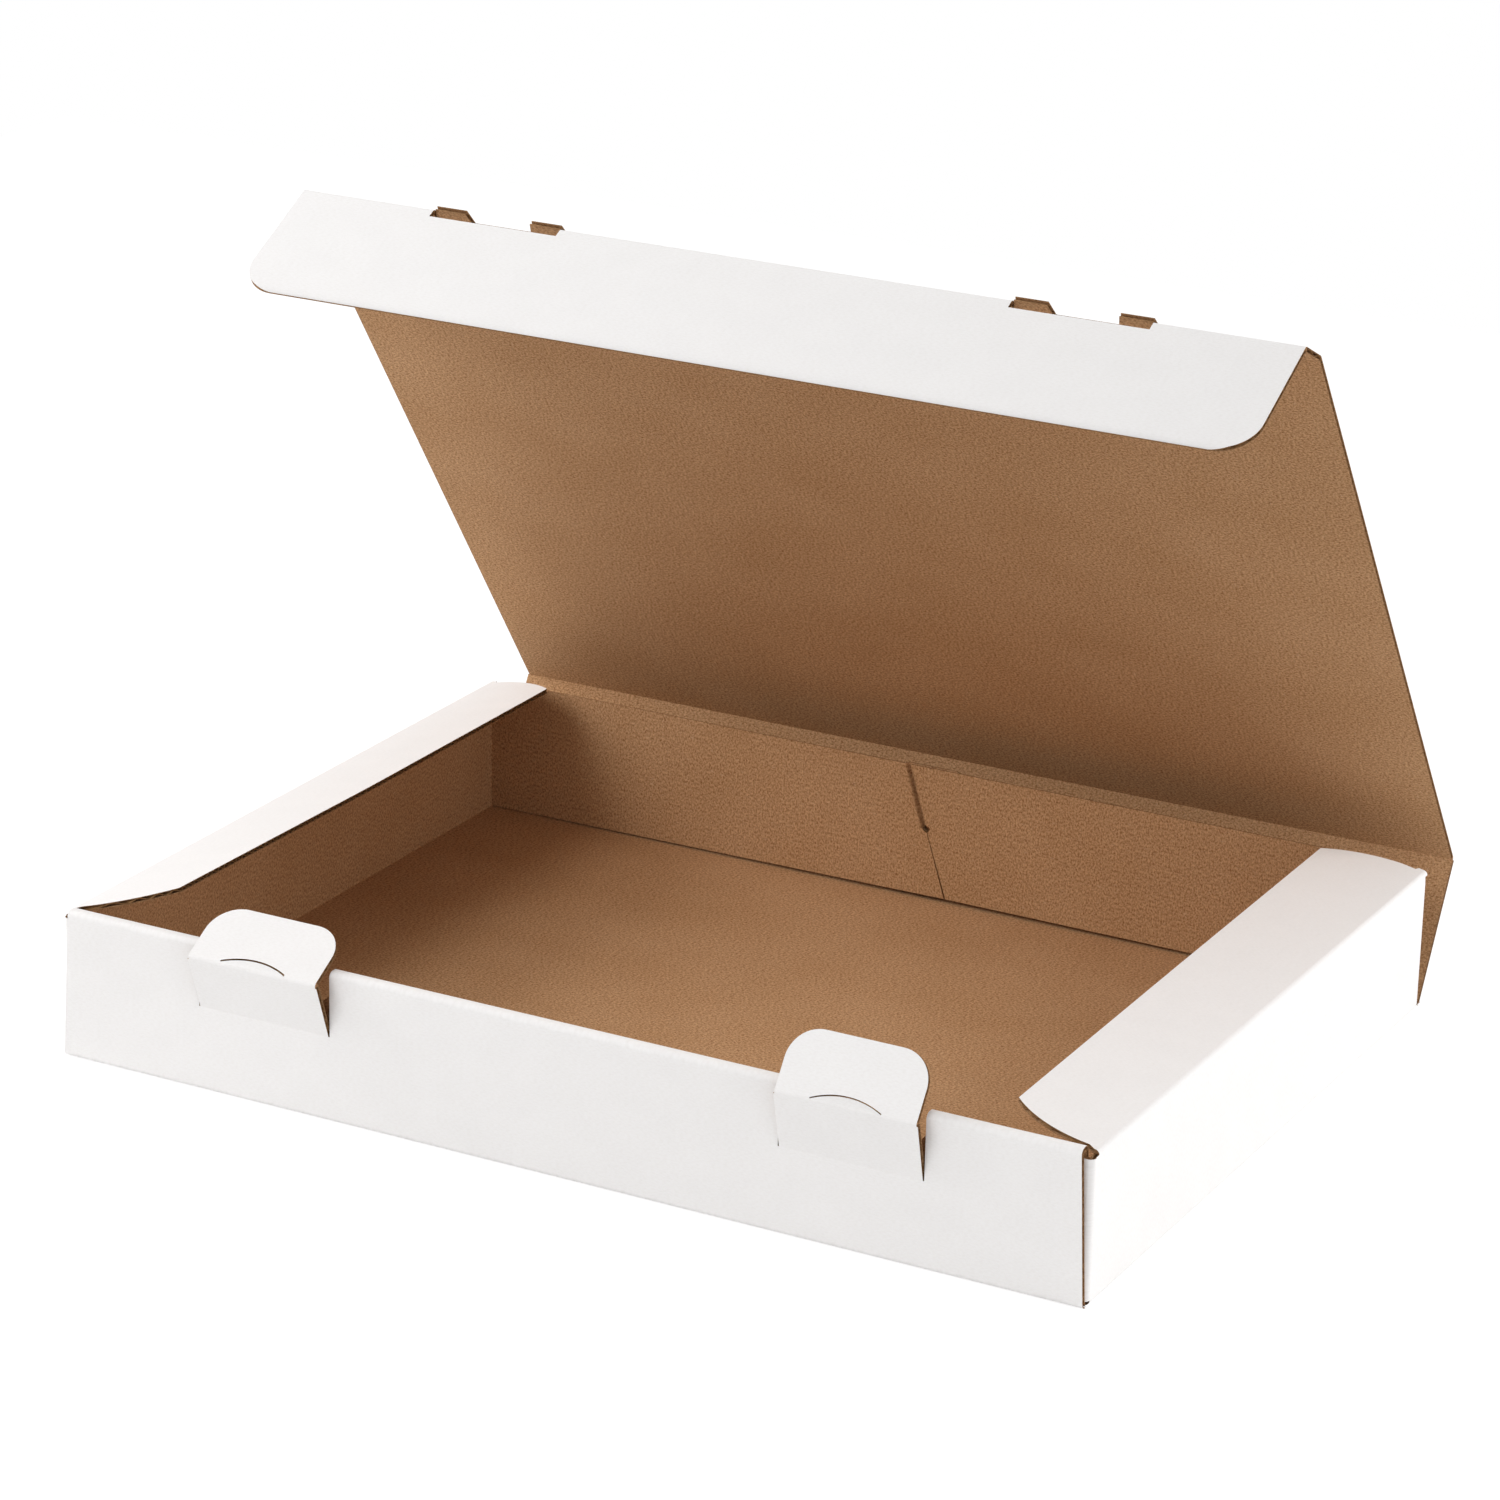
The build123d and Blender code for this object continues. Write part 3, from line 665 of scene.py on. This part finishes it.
def rolled_front_wall(mesh):
    """Front wall folded up from the base, over at the rim and down again inside, carried along
    X. Its ends slant evenly from foot to rim, and the tabs' windows are left out of it."""
    outer_y, inner_y, top_z = FRONT_Y + BOARD, RIM_BACK_Y - BOARD, RIM_Z - BOARD
    path = Path([(WALL_FRONT_Y, BOARD), (outer_y, BOARD), (outer_y, TAB_HINGE_Z), (outer_y, top_z),
                 (inner_y, top_z), (inner_y, WINDOW_FOOT_Z), (inner_y, FLAP_FOOT_Z)], 1)
    low, high = TAB_X - WINDOW_HALF, TAB_X + WINDOW_HALF
    columns = spread([-HALF_LENGTH, -high, -low, low, high, HALF_LENGTH], PANEL_STEP)
    half_way = (outer_y + inner_y) / 2

    def keep(y, z, x):
        in_window = (np.abs(x) > low) & (np.abs(x) < high)
        outside = (y < half_way) & (z > TAB_HINGE_Z)
        inside = (y >= half_way) & (z > WINDOW_FOOT_Z) & (z > 2 * BOARD)
        return ~(in_window & (outside | inside))

    def slanted_ends(y, z, x):
        share = np.clip((z - BOARD) / (RIM_Z - BOARD), 0, 1)
        ends = FRONT_END_X_FOOT + (FRONT_END_X_RIM - FRONT_END_X_FOOT) * share
        ends = np.where(y < half_way, ends, FRONT_END_X_RIM)
        return np.clip(x, -ends, ends)

    folded_board(mesh, path, columns, YZ_PATH, keep, True, slanted_ends)
    for side in (-1, 1):
        for edge in (-1, 1):
            window_corner(mesh, side * TAB_X, edge, inner_y)


def window_corner(mesh, centre_x, edge, inner_y):
    """Board left in a window's lower corner, between the window's side and a quarter circle: at
    a share d of the corner's height down from its top it is 1 - sqrt(1 - d^2) corners wide."""
    wall_x = centre_x + edge * WINDOW_HALF
    corner_top = WINDOW_FOOT_Z + TIP_CORNER

    def arc(z):
        drop = np.clip((corner_top - z) / TIP_CORNER, 0, 1)
        return wall_x - edge * TIP_CORNER * (1 - np.sqrt(1 - drop ** 2))

    edges = arc, constant(wall_x)
    rows = np.linspace(WINDOW_FOOT_Z, corner_top, CORNER_ROWS)
    flat_board(mesh, rows, *edges[::edge], panel(inner_y, 0.0, 0, 1), (0, 1, 0))


def seam_x(z):
    """Place of the seam between the two back flaps at a height: a straight line from its foot
    to its top."""
    share = (z - FLAP_FOOT_Z) / (BACK_FLAP_TOP_Z - FLAP_FOOT_Z)
    return SEAM_FOOT_X + share * (SEAM_TOP_X - SEAM_FOOT_X)


def band_heights(low, high):
    """Heights of a band's rows: at every bend, and at shares of the relief hole's radius."""
    hole = SLIT_Z + HOLE_RADIUS * np.array([-1, -0.8, -0.5, 0, 0.5, 0.8, 1])
    bends = [low, low + CRUSHED_REACH, low + HOOK_CORNER,
             high - HOOK_CORNER, high - CRUSHED_REACH, high]
    return np.unique(np.concatenate([spread(bends, FINE_STEP), hole[(hole > low) & (hole < high)]]))


def flap_columns(side, z, low, high, gap, ramp, hooks, step):
    """Columns of a back flap from its corner fold to its end, at the heights z: x and y, the
    board's depth, and the slope of y along x. The run to the seam is straight. Past it, at a share
    t of its length, the S is back by 3t^2 - 2t^3 of the step, and the hook is straight again, its
    corners rounded by quarter circles. gap is how wide the seam stands open, ramp how long the S
    is."""
    def columns(x, y, depth, slope):
        return [np.broadcast_to(value, x.shape) for value in (x, y, depth, slope)]

    start_x = side * (SIDE_INNER_X - INNER_RADIUS)
    seam = seam_x(z)[:, None]
    in_hole = np.sqrt(np.clip(HOLE_RADIUS ** 2 - (z - SLIT_Z) ** 2, 0, None))[:, None]
    end_x = seam + side * ((ramp + gap) if hooks else (gap / 2 + in_hole))
    near = HALF_LENGTH - HOLE_REACH
    run = np.append(spread([0.0, near], step)[:-1], spread([near, HALF_LENGTH], HOLE_STEP))
    run_x = start_x + (end_x - start_x) * (run / HALF_LENGTH)
    parts = [columns(run_x, BACK_FLAP_INNER_Y, BOARD, 0.0)]
    if hooks:
        t = np.linspace(0, 1, S_STEPS + 1)[1:]
        bend = 3 * t ** 2 - 2 * t ** 3
        back = HOOK_INNER_Y - BACK_FLAP_INNER_Y
        slope = 6 * t * (1 - t) * back / (-side * ramp)
        parts.append(columns(end_x - side * ramp * t, BACK_FLAP_INNER_Y + back * bend,
                             BOARD + (HOOK_BOARD - BOARD) * bend, slope))
        past = np.clip(HOOK_CORNER - np.minimum(high - z, z - low), 0, None)[:, None]
        reach = HOOK_REACH - HOOK_CORNER + np.sqrt(HOOK_CORNER ** 2 - past ** 2)
        on = np.append(spread([0.0, HOLE_REACH], HOLE_STEP)[1:-1],
                       spread([HOLE_REACH, HOOK_REACH], step)) / HOOK_REACH
        parts.append(columns(end_x - side * (ramp + (reach + gap) * on), HOOK_INNER_Y, HOOK_BOARD, 0.0))
    return [np.concatenate(values, 1) for values in zip(*parts)]


def back_flap(mesh, side, low, high, gap, ramp, hooks):
    """One height band of a back flap: the upright corner fold, then the columns to the seam and,
    where it hooks, behind the other flap. Heights run evenly between the band's two edges, which
    follow the lifted foot, the relief hole's circle and the dropping top, where it is pinched."""
    z = band_heights(low, high)
    share = (z[:, None] - low) / (high - low)
    fold = Path([(side * SIDE_INNER_X, WALL_BACK_Y), (side * SIDE_INNER_X, BACK_FLAP_INNER_Y),
                 (side * (SIDE_INNER_X - CORNER_RUN), BACK_FLAP_INNER_Y)], -side)
    arc, arc_normals = fold.points[:-2], fold.normals[:-2]
    lean = (SEAM_TOP_X - SEAM_FOOT_X) / (BACK_FLAP_TOP_Z - FLAP_FOOT_Z)

    def surface(step):
        x, y, depth, slope = flap_columns(side, z, low, high, gap, ramp, hooks, step)
        normals = np.stack([-slope, np.ones_like(slope), slope * lean], -1)
        normals /= np.linalg.norm(normals, axis=-1, keepdims=True)
        folded = np.zeros((len(z), len(arc), 3))
        folded[..., :2] = arc_normals
        normals = np.concatenate([folded, normals], 1)
        x, y, depth = (np.concatenate([np.broadcast_to(first, (len(z), len(arc))), rest], 1)
                       for first, rest in ((arc[:, 0], x), (arc[:, 1], y), (BOARD, depth)))
        foot = FLAP_FOOT_Z + np.interp(x, FOOT_LIFT_X, FOOT_LIFT)
        top = np.interp(np.abs(x), CORNER_TOP_X, CORNER_TOP_Z)
        from_seam = x - seam_x(z)[:, None]
        bite = np.sqrt(np.clip(HOLE_RADIUS ** 2 - from_seam ** 2, 0, None)) if hooks else 0.0
        begin, finish = (foot, SLIT_Z - bite) if high <= SLIT_Z else (SLIT_Z + bite, top)
        tall = begin + (finish - begin) * share
        pinch = np.clip((top - tall) / CRUSHED_REACH, 0, 1)
        depth = CRUSHED_BOARD + (depth - CRUSHED_BOARD) * pinch
        keep = np.ones((x.shape[0] - 1, x.shape[1] - 1), bool)
        return np.stack([x, y, tall], -1), normals, keep, np.stack([x, tall], -1), depth

    add_board(mesh, *surface(PANEL_STEP))
    points, normals, keep, uv, depth = surface(WAVE_STEP)
    add_fluting(mesh, points, normals, keep, uv, points[..., 0] / FLUTE_PITCH, depth)


def tray(mesh):
    """Base, side walls, rolled front wall and hooked back flaps, which no hinge parts."""
    base_and_side_walls(mesh)
    rolled_front_wall(mesh)
    for side in (-1, 1):
        upright_corner(mesh, side)
    back_flap(mesh, 1, SLIT_Z, BACK_FLAP_TOP_Z, *UPPER_SEAM, False)
    back_flap(mesh, -1, FLAP_FOOT_Z, SLIT_Z, *LOWER_SEAM, False)
    back_flap(mesh, -1, SLIT_Z, BACK_FLAP_TOP_Z, *UPPER_SEAM, True)
    back_flap(mesh, 1, FLAP_FOOT_Z, SLIT_Z, *LOWER_SEAM, True)


# Back wall, lid and tuck flap

def back_wall(mesh):
    """Outer back wall: a plain upright panel."""
    flat_board(mesh, spread([BOARD, RIM_Z], PANEL_STEP), *about(0.0, constant(BACK_WALL_HALF)),
               panel(BACK_CREASE_Y, 0.0, 0, 1), (0, 1, 0))


def lid(mesh):
    """Lid panel and its folded spine, carried along X, open at the two slots, with an ear at each
    slot's end. Along the spine its ends and the slots' sides slant evenly."""
    path = Path([(BACK_CREASE_Y, RIM_Z), (LID_CREASE_Y, RIM_Z), (TUCK_INNER_Y, TUCK_CREASE_Z)],
                -1, SPINE_RADIUS)
    low, high = TAB_X - SLOT_HALF, TAB_X + SLOT_HALF
    columns = spread([-LID_HALF, -high, -low, low, high, LID_HALF], PANEL_STEP)

    def keep(y, z, x):
        return ~((y < LID_CREASE_Y) & (np.abs(x) > low) & (np.abs(x) < high))

    def slanted(y, z, x):
        along = np.clip((LID_CREASE_Y - y) / (LID_CREASE_Y - TUCK_INNER_Y), 0, 1)
        half = LID_HALF + (TUCK_HALF - LID_HALF) * along
        size = np.abs(x)
        size = np.where(np.isclose(size, low), size + SLOT_SLANT * along, size)
        size = np.where(np.isclose(size, high), size - SLOT_SLANT * along, size)
        return np.clip(np.sign(x) * size, -half, half)

    folded_board(mesh, path, columns, YZ_PATH, keep, True, slanted)
    for side in (-1, 1):
        for slot_end_x, inward in ((side * low, side), (side * high, -side)):
            lid_ear(mesh, slot_end_x, inward)


def lid_ear(mesh, slot_end_x, inward):
    """Ear in the lid's plane, whose two sides close in evenly towards its free end."""
    root = slot_end_x + inward * EAR_GAP
    slant = (EAR_FOOT - EAR_TOP) / 2
    edges = (lambda s: root + inward * slant * s / EAR_LENGTH,
             lambda s: root + inward * (EAR_FOOT - slant * s / EAR_LENGTH))
    flat_board(mesh, np.linspace(0.0, EAR_LENGTH, EAR_ROWS), *edges[::inward],
               panel(LID_CREASE_Y, RIM_Z, -1, 0), (0, 0, 1))


def tuck_flap(mesh):
    """Tuck flap: a strip with rounded lower corners, notched at the crease under the lid's slots.
    The die has pinched its free edge, by the root of the way in from it."""
    def pinched(s, x):
        inside = np.clip((TUCK_LENGTH - s) / CRUSHED_REACH, 0, 1)
        return CRUSHED_BOARD + (BOARD - CRUSHED_BOARD) * np.sqrt(inside)

    place = panel(TUCK_INNER_Y, TUCK_CREASE_Z, 0, -1)
    crease_rows = spread([0.0, SLOT_DEPTH_IN_TUCK], FINE_STEP)
    for left, right in TUCK_SPANS:
        flat_board(mesh, crease_rows, constant(left), constant(right), place, (0, -1, 0))
    rows, half = rounded_strip(SLOT_DEPTH_IN_TUCK, TUCK_LENGTH, TUCK_HALF, TUCK_CORNER, PANEL_STEP,
                               count=20)
    flat_board(mesh, rows, *about(0.0, half), place, (0, -1, 0), thickness=pinched)


# Side flaps

def arc_through(first, middle, last, count=24):
    """Points of the arc through three points, about the centre equally far from all of them."""
    (ax, ay), (bx, by), (cx, cy) = first, middle, last
    d = 2 * (ax * (by - cy) + bx * (cy - ay) + cx * (ay - by))
    a, b, c = ax * ax + ay * ay, bx * bx + by * by, cx * cx + cy * cy
    ux = (a * (by - cy) + b * (cy - ay) + c * (ay - by)) / d
    uy = (a * (cx - bx) + b * (ax - cx) + c * (bx - ax)) / d
    radius = math.hypot(ax - ux, ay - uy)
    start, end = math.atan2(ay - uy, ax - ux), math.atan2(cy - uy, cx - ux)
    sweep = (end - start + math.pi) % (2 * math.pi) - math.pi
    angle = start + sweep * np.linspace(0, 1, count)
    return ux + radius * np.cos(angle), uy + radius * np.sin(angle)


def top_flap(mesh, side):
    """Side flap: between its crease and an inner edge of straight runs and an arc at each end,
    with a nib over the rear corner fold."""
    inner_x, relief_x, shoulder_x, nib_x = (
        SIDE_INNER_X - back for back in (FLAP_WIDTH, FLAP_RELIEF, FLAP_SHOULDER, FLAP_NIB))
    front_x, front_y = arc_through((relief_x, FLAP_FRONT_Y),
                                   ((relief_x + inner_x) / 2, FLAP_FRONT_Y + FLAP_FRONT_BULGE),
                                   (inner_x, FLAP_FRONT_Y + FLAP_FRONT_TAPER))
    back_x, back_y = arc_through((inner_x, FLAP_BACK_Y - FLAP_BACK_TAPER),
                                 ((shoulder_x + inner_x) / 2, FLAP_BACK_Y - FLAP_BACK_BULGE),
                                 (shoulder_x, FLAP_BACK_Y))
    edge_x = np.concatenate([[SIDE_INNER_X - FLAP_CREASE_START], front_x, back_x,
                             [nib_x, nib_x + NIB_TAPER]])
    edge_y = np.concatenate([[FLAP_CREASE_FRONT_Y], front_y, back_y,
                             [FLAP_BACK_Y + NIB_STEP, FLAP_CREASE_BACK_Y]])

    def inner_edge(y):
        return side * np.interp(y, edge_y, edge_x)

    edges = inner_edge, constant(side * SIDE_INNER_X)
    flat_board(mesh, spread(list(edge_y), PANEL_STEP), *edges[::side],
               panel(0.0, SIDE_CREASE_Z, 1, 0), (0, 0, 1))


# Lock tabs

def moon_half_width(s, chord, rise):
    """Half the width of a segment of a circle at a height s above its chord: the root of the
    radius squared less the square of the height above the circle's centre."""
    radius = (chord ** 2 / 4 + rise ** 2) / (2 * rise)
    return np.sqrt(np.clip(radius ** 2 - (radius - rise + s) ** 2, 0, None))


def tab_panel(mesh, centre_x, tip_angle):
    """Lock tab panel with its half-moon, which the fold has drawn part of the way over with the
    tip, and which the die has crushed evenly thinner towards its free edge."""
    place = panel(FRONT_Y + BOARD, 0.0, 0, 1)
    flat_board(mesh, spread([TAB_HINGE_Z, TAB_CREASE_Z], TAB_STEP),
               *about(centre_x, constant(TAB_HALF)), place, (0, -1, 0), TAB_STEP)
    over = MOON_FOLLOWS * (math.pi / 2 - tip_angle)
    leaned = np.array([0, -math.cos(over), math.sin(over)])

    def lean(z, x):
        return turn_about_x(place(z, x), FRONT_Y + BOARD, TAB_CREASE_Z, -over)

    def half(z):
        return moon_half_width(z - TAB_CREASE_Z, HALF_MOON_CHORD, HALF_MOON_RISE) + MOON_TIP

    def crushed(z, x):
        up = np.clip((z - TAB_CREASE_Z) / HALF_MOON_RISE, 0, 1)
        return BOARD - (BOARD - CRUSHED_BOARD) * up

    flat_board(mesh, sine_rows(TAB_CREASE_Z, HALF_MOON_RISE, count=10), *about(centre_x, half),
               lean, leaned, FINE_STEP, crushed)
    chord = spread([centre_x - MOON_FOLD_HALF, centre_x + MOON_FOLD_HALF], FINE_STEP)
    along = np.zeros((len(chord), 1))
    add_bend(mesh, place(np.full_like(chord, TAB_CREASE_Z), chord),
             along + (0, -1, 0), along + leaned, chord)


def tab_tip(mesh, centre_x):
    """Lock tab tip: a strip with rounded corners at its free end and, at its crease, a cut-out
    that is the half-moon's segment of a circle, a slit larger all round."""
    cut_rise = HALF_MOON_RISE + ARC_SLIT
    place = panel(FRONT_Y + BOARD, TAB_CREASE_Z, 1, 0)

    def cut(s):
        return moon_half_width(s, HALF_MOON_CHORD + 2 * ARC_SLIT, cut_rise)

    beside = sine_rows(0.0, cut_rise, CORNER_ROWS)
    rows, half = rounded_strip(cut_rise, TIP_LENGTH, TIP_HALF, TIP_CORNER, FINE_STEP, count=14)
    (low, high), (cut_low, cut_high) = about(centre_x, constant(TIP_HALF)), about(centre_x, cut)
    for s, *edges in ((beside, low, cut_low), (beside, cut_high, high), (rows, *about(centre_x, half))):
        flat_board(mesh, s, *edges, place, (0, 0, 1), FINE_STEP)


# Creases

def along_x(y, z):
    """A fold's line along X through (y, z)."""
    return lambda x: np.stack([x, np.full_like(x, y), np.full_like(x, z)], -1)


def along_y(x, z):
    """A fold's line along Y through (x, z)."""
    return lambda y: np.stack([np.full_like(y, x), y, np.full_like(y, z)], -1)


def crease(name, line, first, second, spans, outside=WHITE, inside=KRAFT):
    """Bent strip that fills the wedge of a fold. line(c) gives points on the fold's line in the
    closed box, first and second are (how the panel is opened, its closed normal), and spans are
    the stretches along the line."""
    mesh = Mesh()
    for low, high in spans:
        c = spread([low, high], PANEL_STEP)
        add_bend(mesh, *fold_rays(line, first, second, c), c, outside, inside)
    strip = mesh.make(name, as_built)
    middle = np.array([np.mean(spans[0])])
    point, start, end = (rays[0] for rays in fold_rays(line, first, second, middle))
    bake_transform(strip)


def add_bend(mesh, points, start, end, c, outside=WHITE, inside=KRAFT):
    """Board swept about a line of points from the normals m to n: at a share t of the angle a
    between them it points along (m sin((1 - t) a) + n sin(t a)) / sin(a)."""
    share = np.linspace(0, 1, BEND_STEPS + 1)[:, None, None]
    angle = np.arccos(np.clip(np.sum(start * end, -1), -1, 1))[None, :, None]
    spokes = (start * np.sin((1 - share) * angle) + end * np.sin(share * angle)) / np.sin(angle)
    points = np.broadcast_to(points, spokes.shape)
    keep = np.ones((len(share) - 1, len(c) - 1), bool)
    uv = np.stack([(share * angle)[..., 0] * BOARD, np.broadcast_to(c, spokes.shape[:2])], -1)
    add_sheet(mesh, points, spokes, BOARD - LINER, BOARD, keep, uv, (KRAFT, outside, CUT))
    add_sheet(mesh, points, spokes, BEND_CORE, BOARD - LINER, keep, uv, (inside, KRAFT, CUT))


def fold_rays(line, first, second, c):
    """Points of a fold at the places c, and the normals there of the two panels that it joins."""
    closed = line(c)
    rays = [place(closed + normal) - place(closed) for place, normal in (first, second)]
    return first[0](closed), *rays


def creases():
    """The nine folds that work as hinges."""
    lean = (0, -math.sin(SPINE_FOLD), math.cos(SPINE_FOLD))
    crease("crease_base_back_wall", along_x(BACK_CREASE_Y, BOARD), (as_built, (0, 0, -1)),
           (back_wall_opened, (0, 1, 0)), [(-BACK_WALL_HALF, BACK_WALL_HALF)])
    crease("crease_back_wall_lid", along_x(BACK_CREASE_Y, RIM_Z), (back_wall_opened, (0, 1, 0)),
           (lid_opened, (0, 0, 1)), [(-LID_HALF, LID_HALF)])
    crease("crease_lid_tuck_flap", along_x(TUCK_INNER_Y, TUCK_CREASE_Z), (lid_opened, lean),
           (tuck_opened, (0, -1, 0)), TUCK_SPANS)
    for word, side, angle, twist in FLAPS:
        crease(f"crease_{word}_top_flap", along_y(side * SIDE_INNER_X, SIDE_CREASE_Z),
               (as_built, (side, 0, 0)), (flap_opened(side, angle, *twist), (0, 0, 1)),
               [(FLAP_CREASE_FRONT_Y, FLAP_CREASE_BACK_Y)])
    for word, side, tab_angle, tip_angle in TABS:
        x = side * TAB_X
        leaning = tab_opened(tab_angle)
        crease(f"crease_{word}_tab_hinge", along_x(FRONT_Y, TAB_HINGE_Z),
               (as_built, (0, 1, 0)), (leaning, (0, 1, 0)),
               [(x - TAB_HALF, x + TAB_HALF)], KRAFT, WHITE)
        crease(f"crease_{word}_tab_tip", along_x(FRONT_Y + BOARD, TAB_CREASE_Z),
               (leaning, (0, -1, 0)), (tip_opened(tab_angle, tip_angle), (0, 0, 1)),
               [(x - TIP_HALF, x - MOON_FOLD_HALF), (x + MOON_FOLD_HALF, x + TIP_HALF)])


# Setting

def stand_in(body, draw, place, *values):
    """A piece that draw(mesh, *values) makes in the closed box and place opens. It rides on the
    body and is shown in place of the node of that name."""
    mesh = Mesh()
    draw(mesh, *values)
    made = mesh.make(f"{body}_board", place)
    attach(made, body)
    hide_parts(body)


def camera():
    """Stands back from the target by the distance, turned by yaw, pitch and roll."""
    data = bpy.data.cameras.new("photo_camera")
    made = shown("photo_camera", data)
    turn = (Matrix.Rotation(CAMERA_YAW, 4, "Z") @ Matrix.Rotation(math.pi / 2 - CAMERA_PITCH, 4, "X")
            @ Matrix.Rotation(CAMERA_ROLL, 4, "Z"))
    back = Matrix.Translation((0.0, 0.0, CAMERA_DISTANCE))
    made.matrix_world = Matrix.Translation(CAMERA_TARGET) @ turn @ back
    data.sensor_width = 36.0
    data.sensor_fit = "HORIZONTAL"
    data.lens = CAMERA_FOCUS / PHOTO_SIZE * data.sensor_width
    data.clip_start = 0.01
    bpy.context.scene.camera = made


def area_light(name, place, size, power):
    """A square lamp that faces the box."""
    data = bpy.data.lights.new(name, "AREA")
    data.shape = "SQUARE"
    data.size = size
    data.energy = power
    facing = (Vector(LAMP_TARGET) - Vector(place)).to_track_quat("-Z", "Y")
    shown(name, data).matrix_world = Matrix.Translation(place) @ facing.to_matrix().to_4x4()


def seen_rays(tree):
    """1 for rays that show the background itself, to the camera or in a reflection, else 0."""
    rays = node(tree, "ShaderNodeLightPath", output=None)
    camera_ray, glossy, through = (rays.outputs[f"Is {word} Ray"]
                                   for word in ("Camera", "Glossy", "Transmission"))
    seen = node(tree, "ShaderNodeMath", {0: camera_ray, 1: glossy}, operation="MAXIMUM")
    return node(tree, "ShaderNodeMath", {0: seen, 1: through}, operation="MAXIMUM")


def world_light():
    """Even fill from all round, behind which the eye sees plain white."""
    world = bpy.data.worlds.new("studio")
    bpy.context.scene.world = world
    world.use_nodes = True
    tree = world.node_tree
    tree.nodes.clear()
    fill = node(tree, "ShaderNodeBackground", {"Color": "#FFFFFF", "Strength": WORLD_FILL})
    white = node(tree, "ShaderNodeBackground", {"Color": "#FFFFFF", "Strength": 1.0})
    mix = node(tree, "ShaderNodeMixShader", {0: seen_rays(tree), 1: fill, 2: white})
    node(tree, "ShaderNodeOutputWorld", {"Surface": mix})


def floor():
    """Plain white floor that keeps a faint shadow of the box."""
    mesh = bpy.data.meshes.new("floor")
    corners = [(x * FLOOR_HALF, y * FLOOR_HALF, -FLOOR_DROP)
               for x, y in ((-1, -1), (1, -1), (1, 1), (-1, 1))]
    mesh.from_pydata(corners, [], [(0, 1, 2, 3)])
    made = shown("floor", mesh)
    material, tree = new_material("floor_white")
    paint = node(tree, "ShaderNodeBsdfDiffuse", {"Color": "#F7F7F7"})
    glow = node(tree, "ShaderNodeEmission", {"Color": "#FFFFFF", "Strength": FLOOR_GLOW_STRENGTH})
    lifted = node(tree, "ShaderNodeMixShader", {0: FLOOR_GLOW, 1: paint, 2: glow})
    mix = node(tree, "ShaderNodeMixShader", {0: seen_rays(tree), 1: paint, 2: lifted})
    node(tree, "ShaderNodeOutputMaterial", {"Surface": mix})
    mesh.materials.append(material)


stand_in("tray", tray, as_built)
stand_in("back_wall", back_wall, back_wall_opened)
stand_in("lid", lid, lid_opened)
stand_in("tuck_flap", tuck_flap, tuck_opened)
for word, side, angle, twist in FLAPS:
    stand_in(f"{word}_top_flap", top_flap, flap_opened(side, angle, *twist), side)
for word, side, tab_angle, tip_angle in TABS:
    stand_in(f"{word}_tab_panel", tab_panel, tab_opened(tab_angle), side * TAB_X, tip_angle)
for word, side, tab_angle, tip_angle in TABS:
    stand_in(f"{word}_tab_tip", tab_tip, tip_opened(tab_angle, tip_angle), side * TAB_X)
creases()

camera()
world_light()
for lamp in LAMPS:
    area_light(*lamp)
floor()

bpy.context.scene.view_settings.view_transform = "Standard"
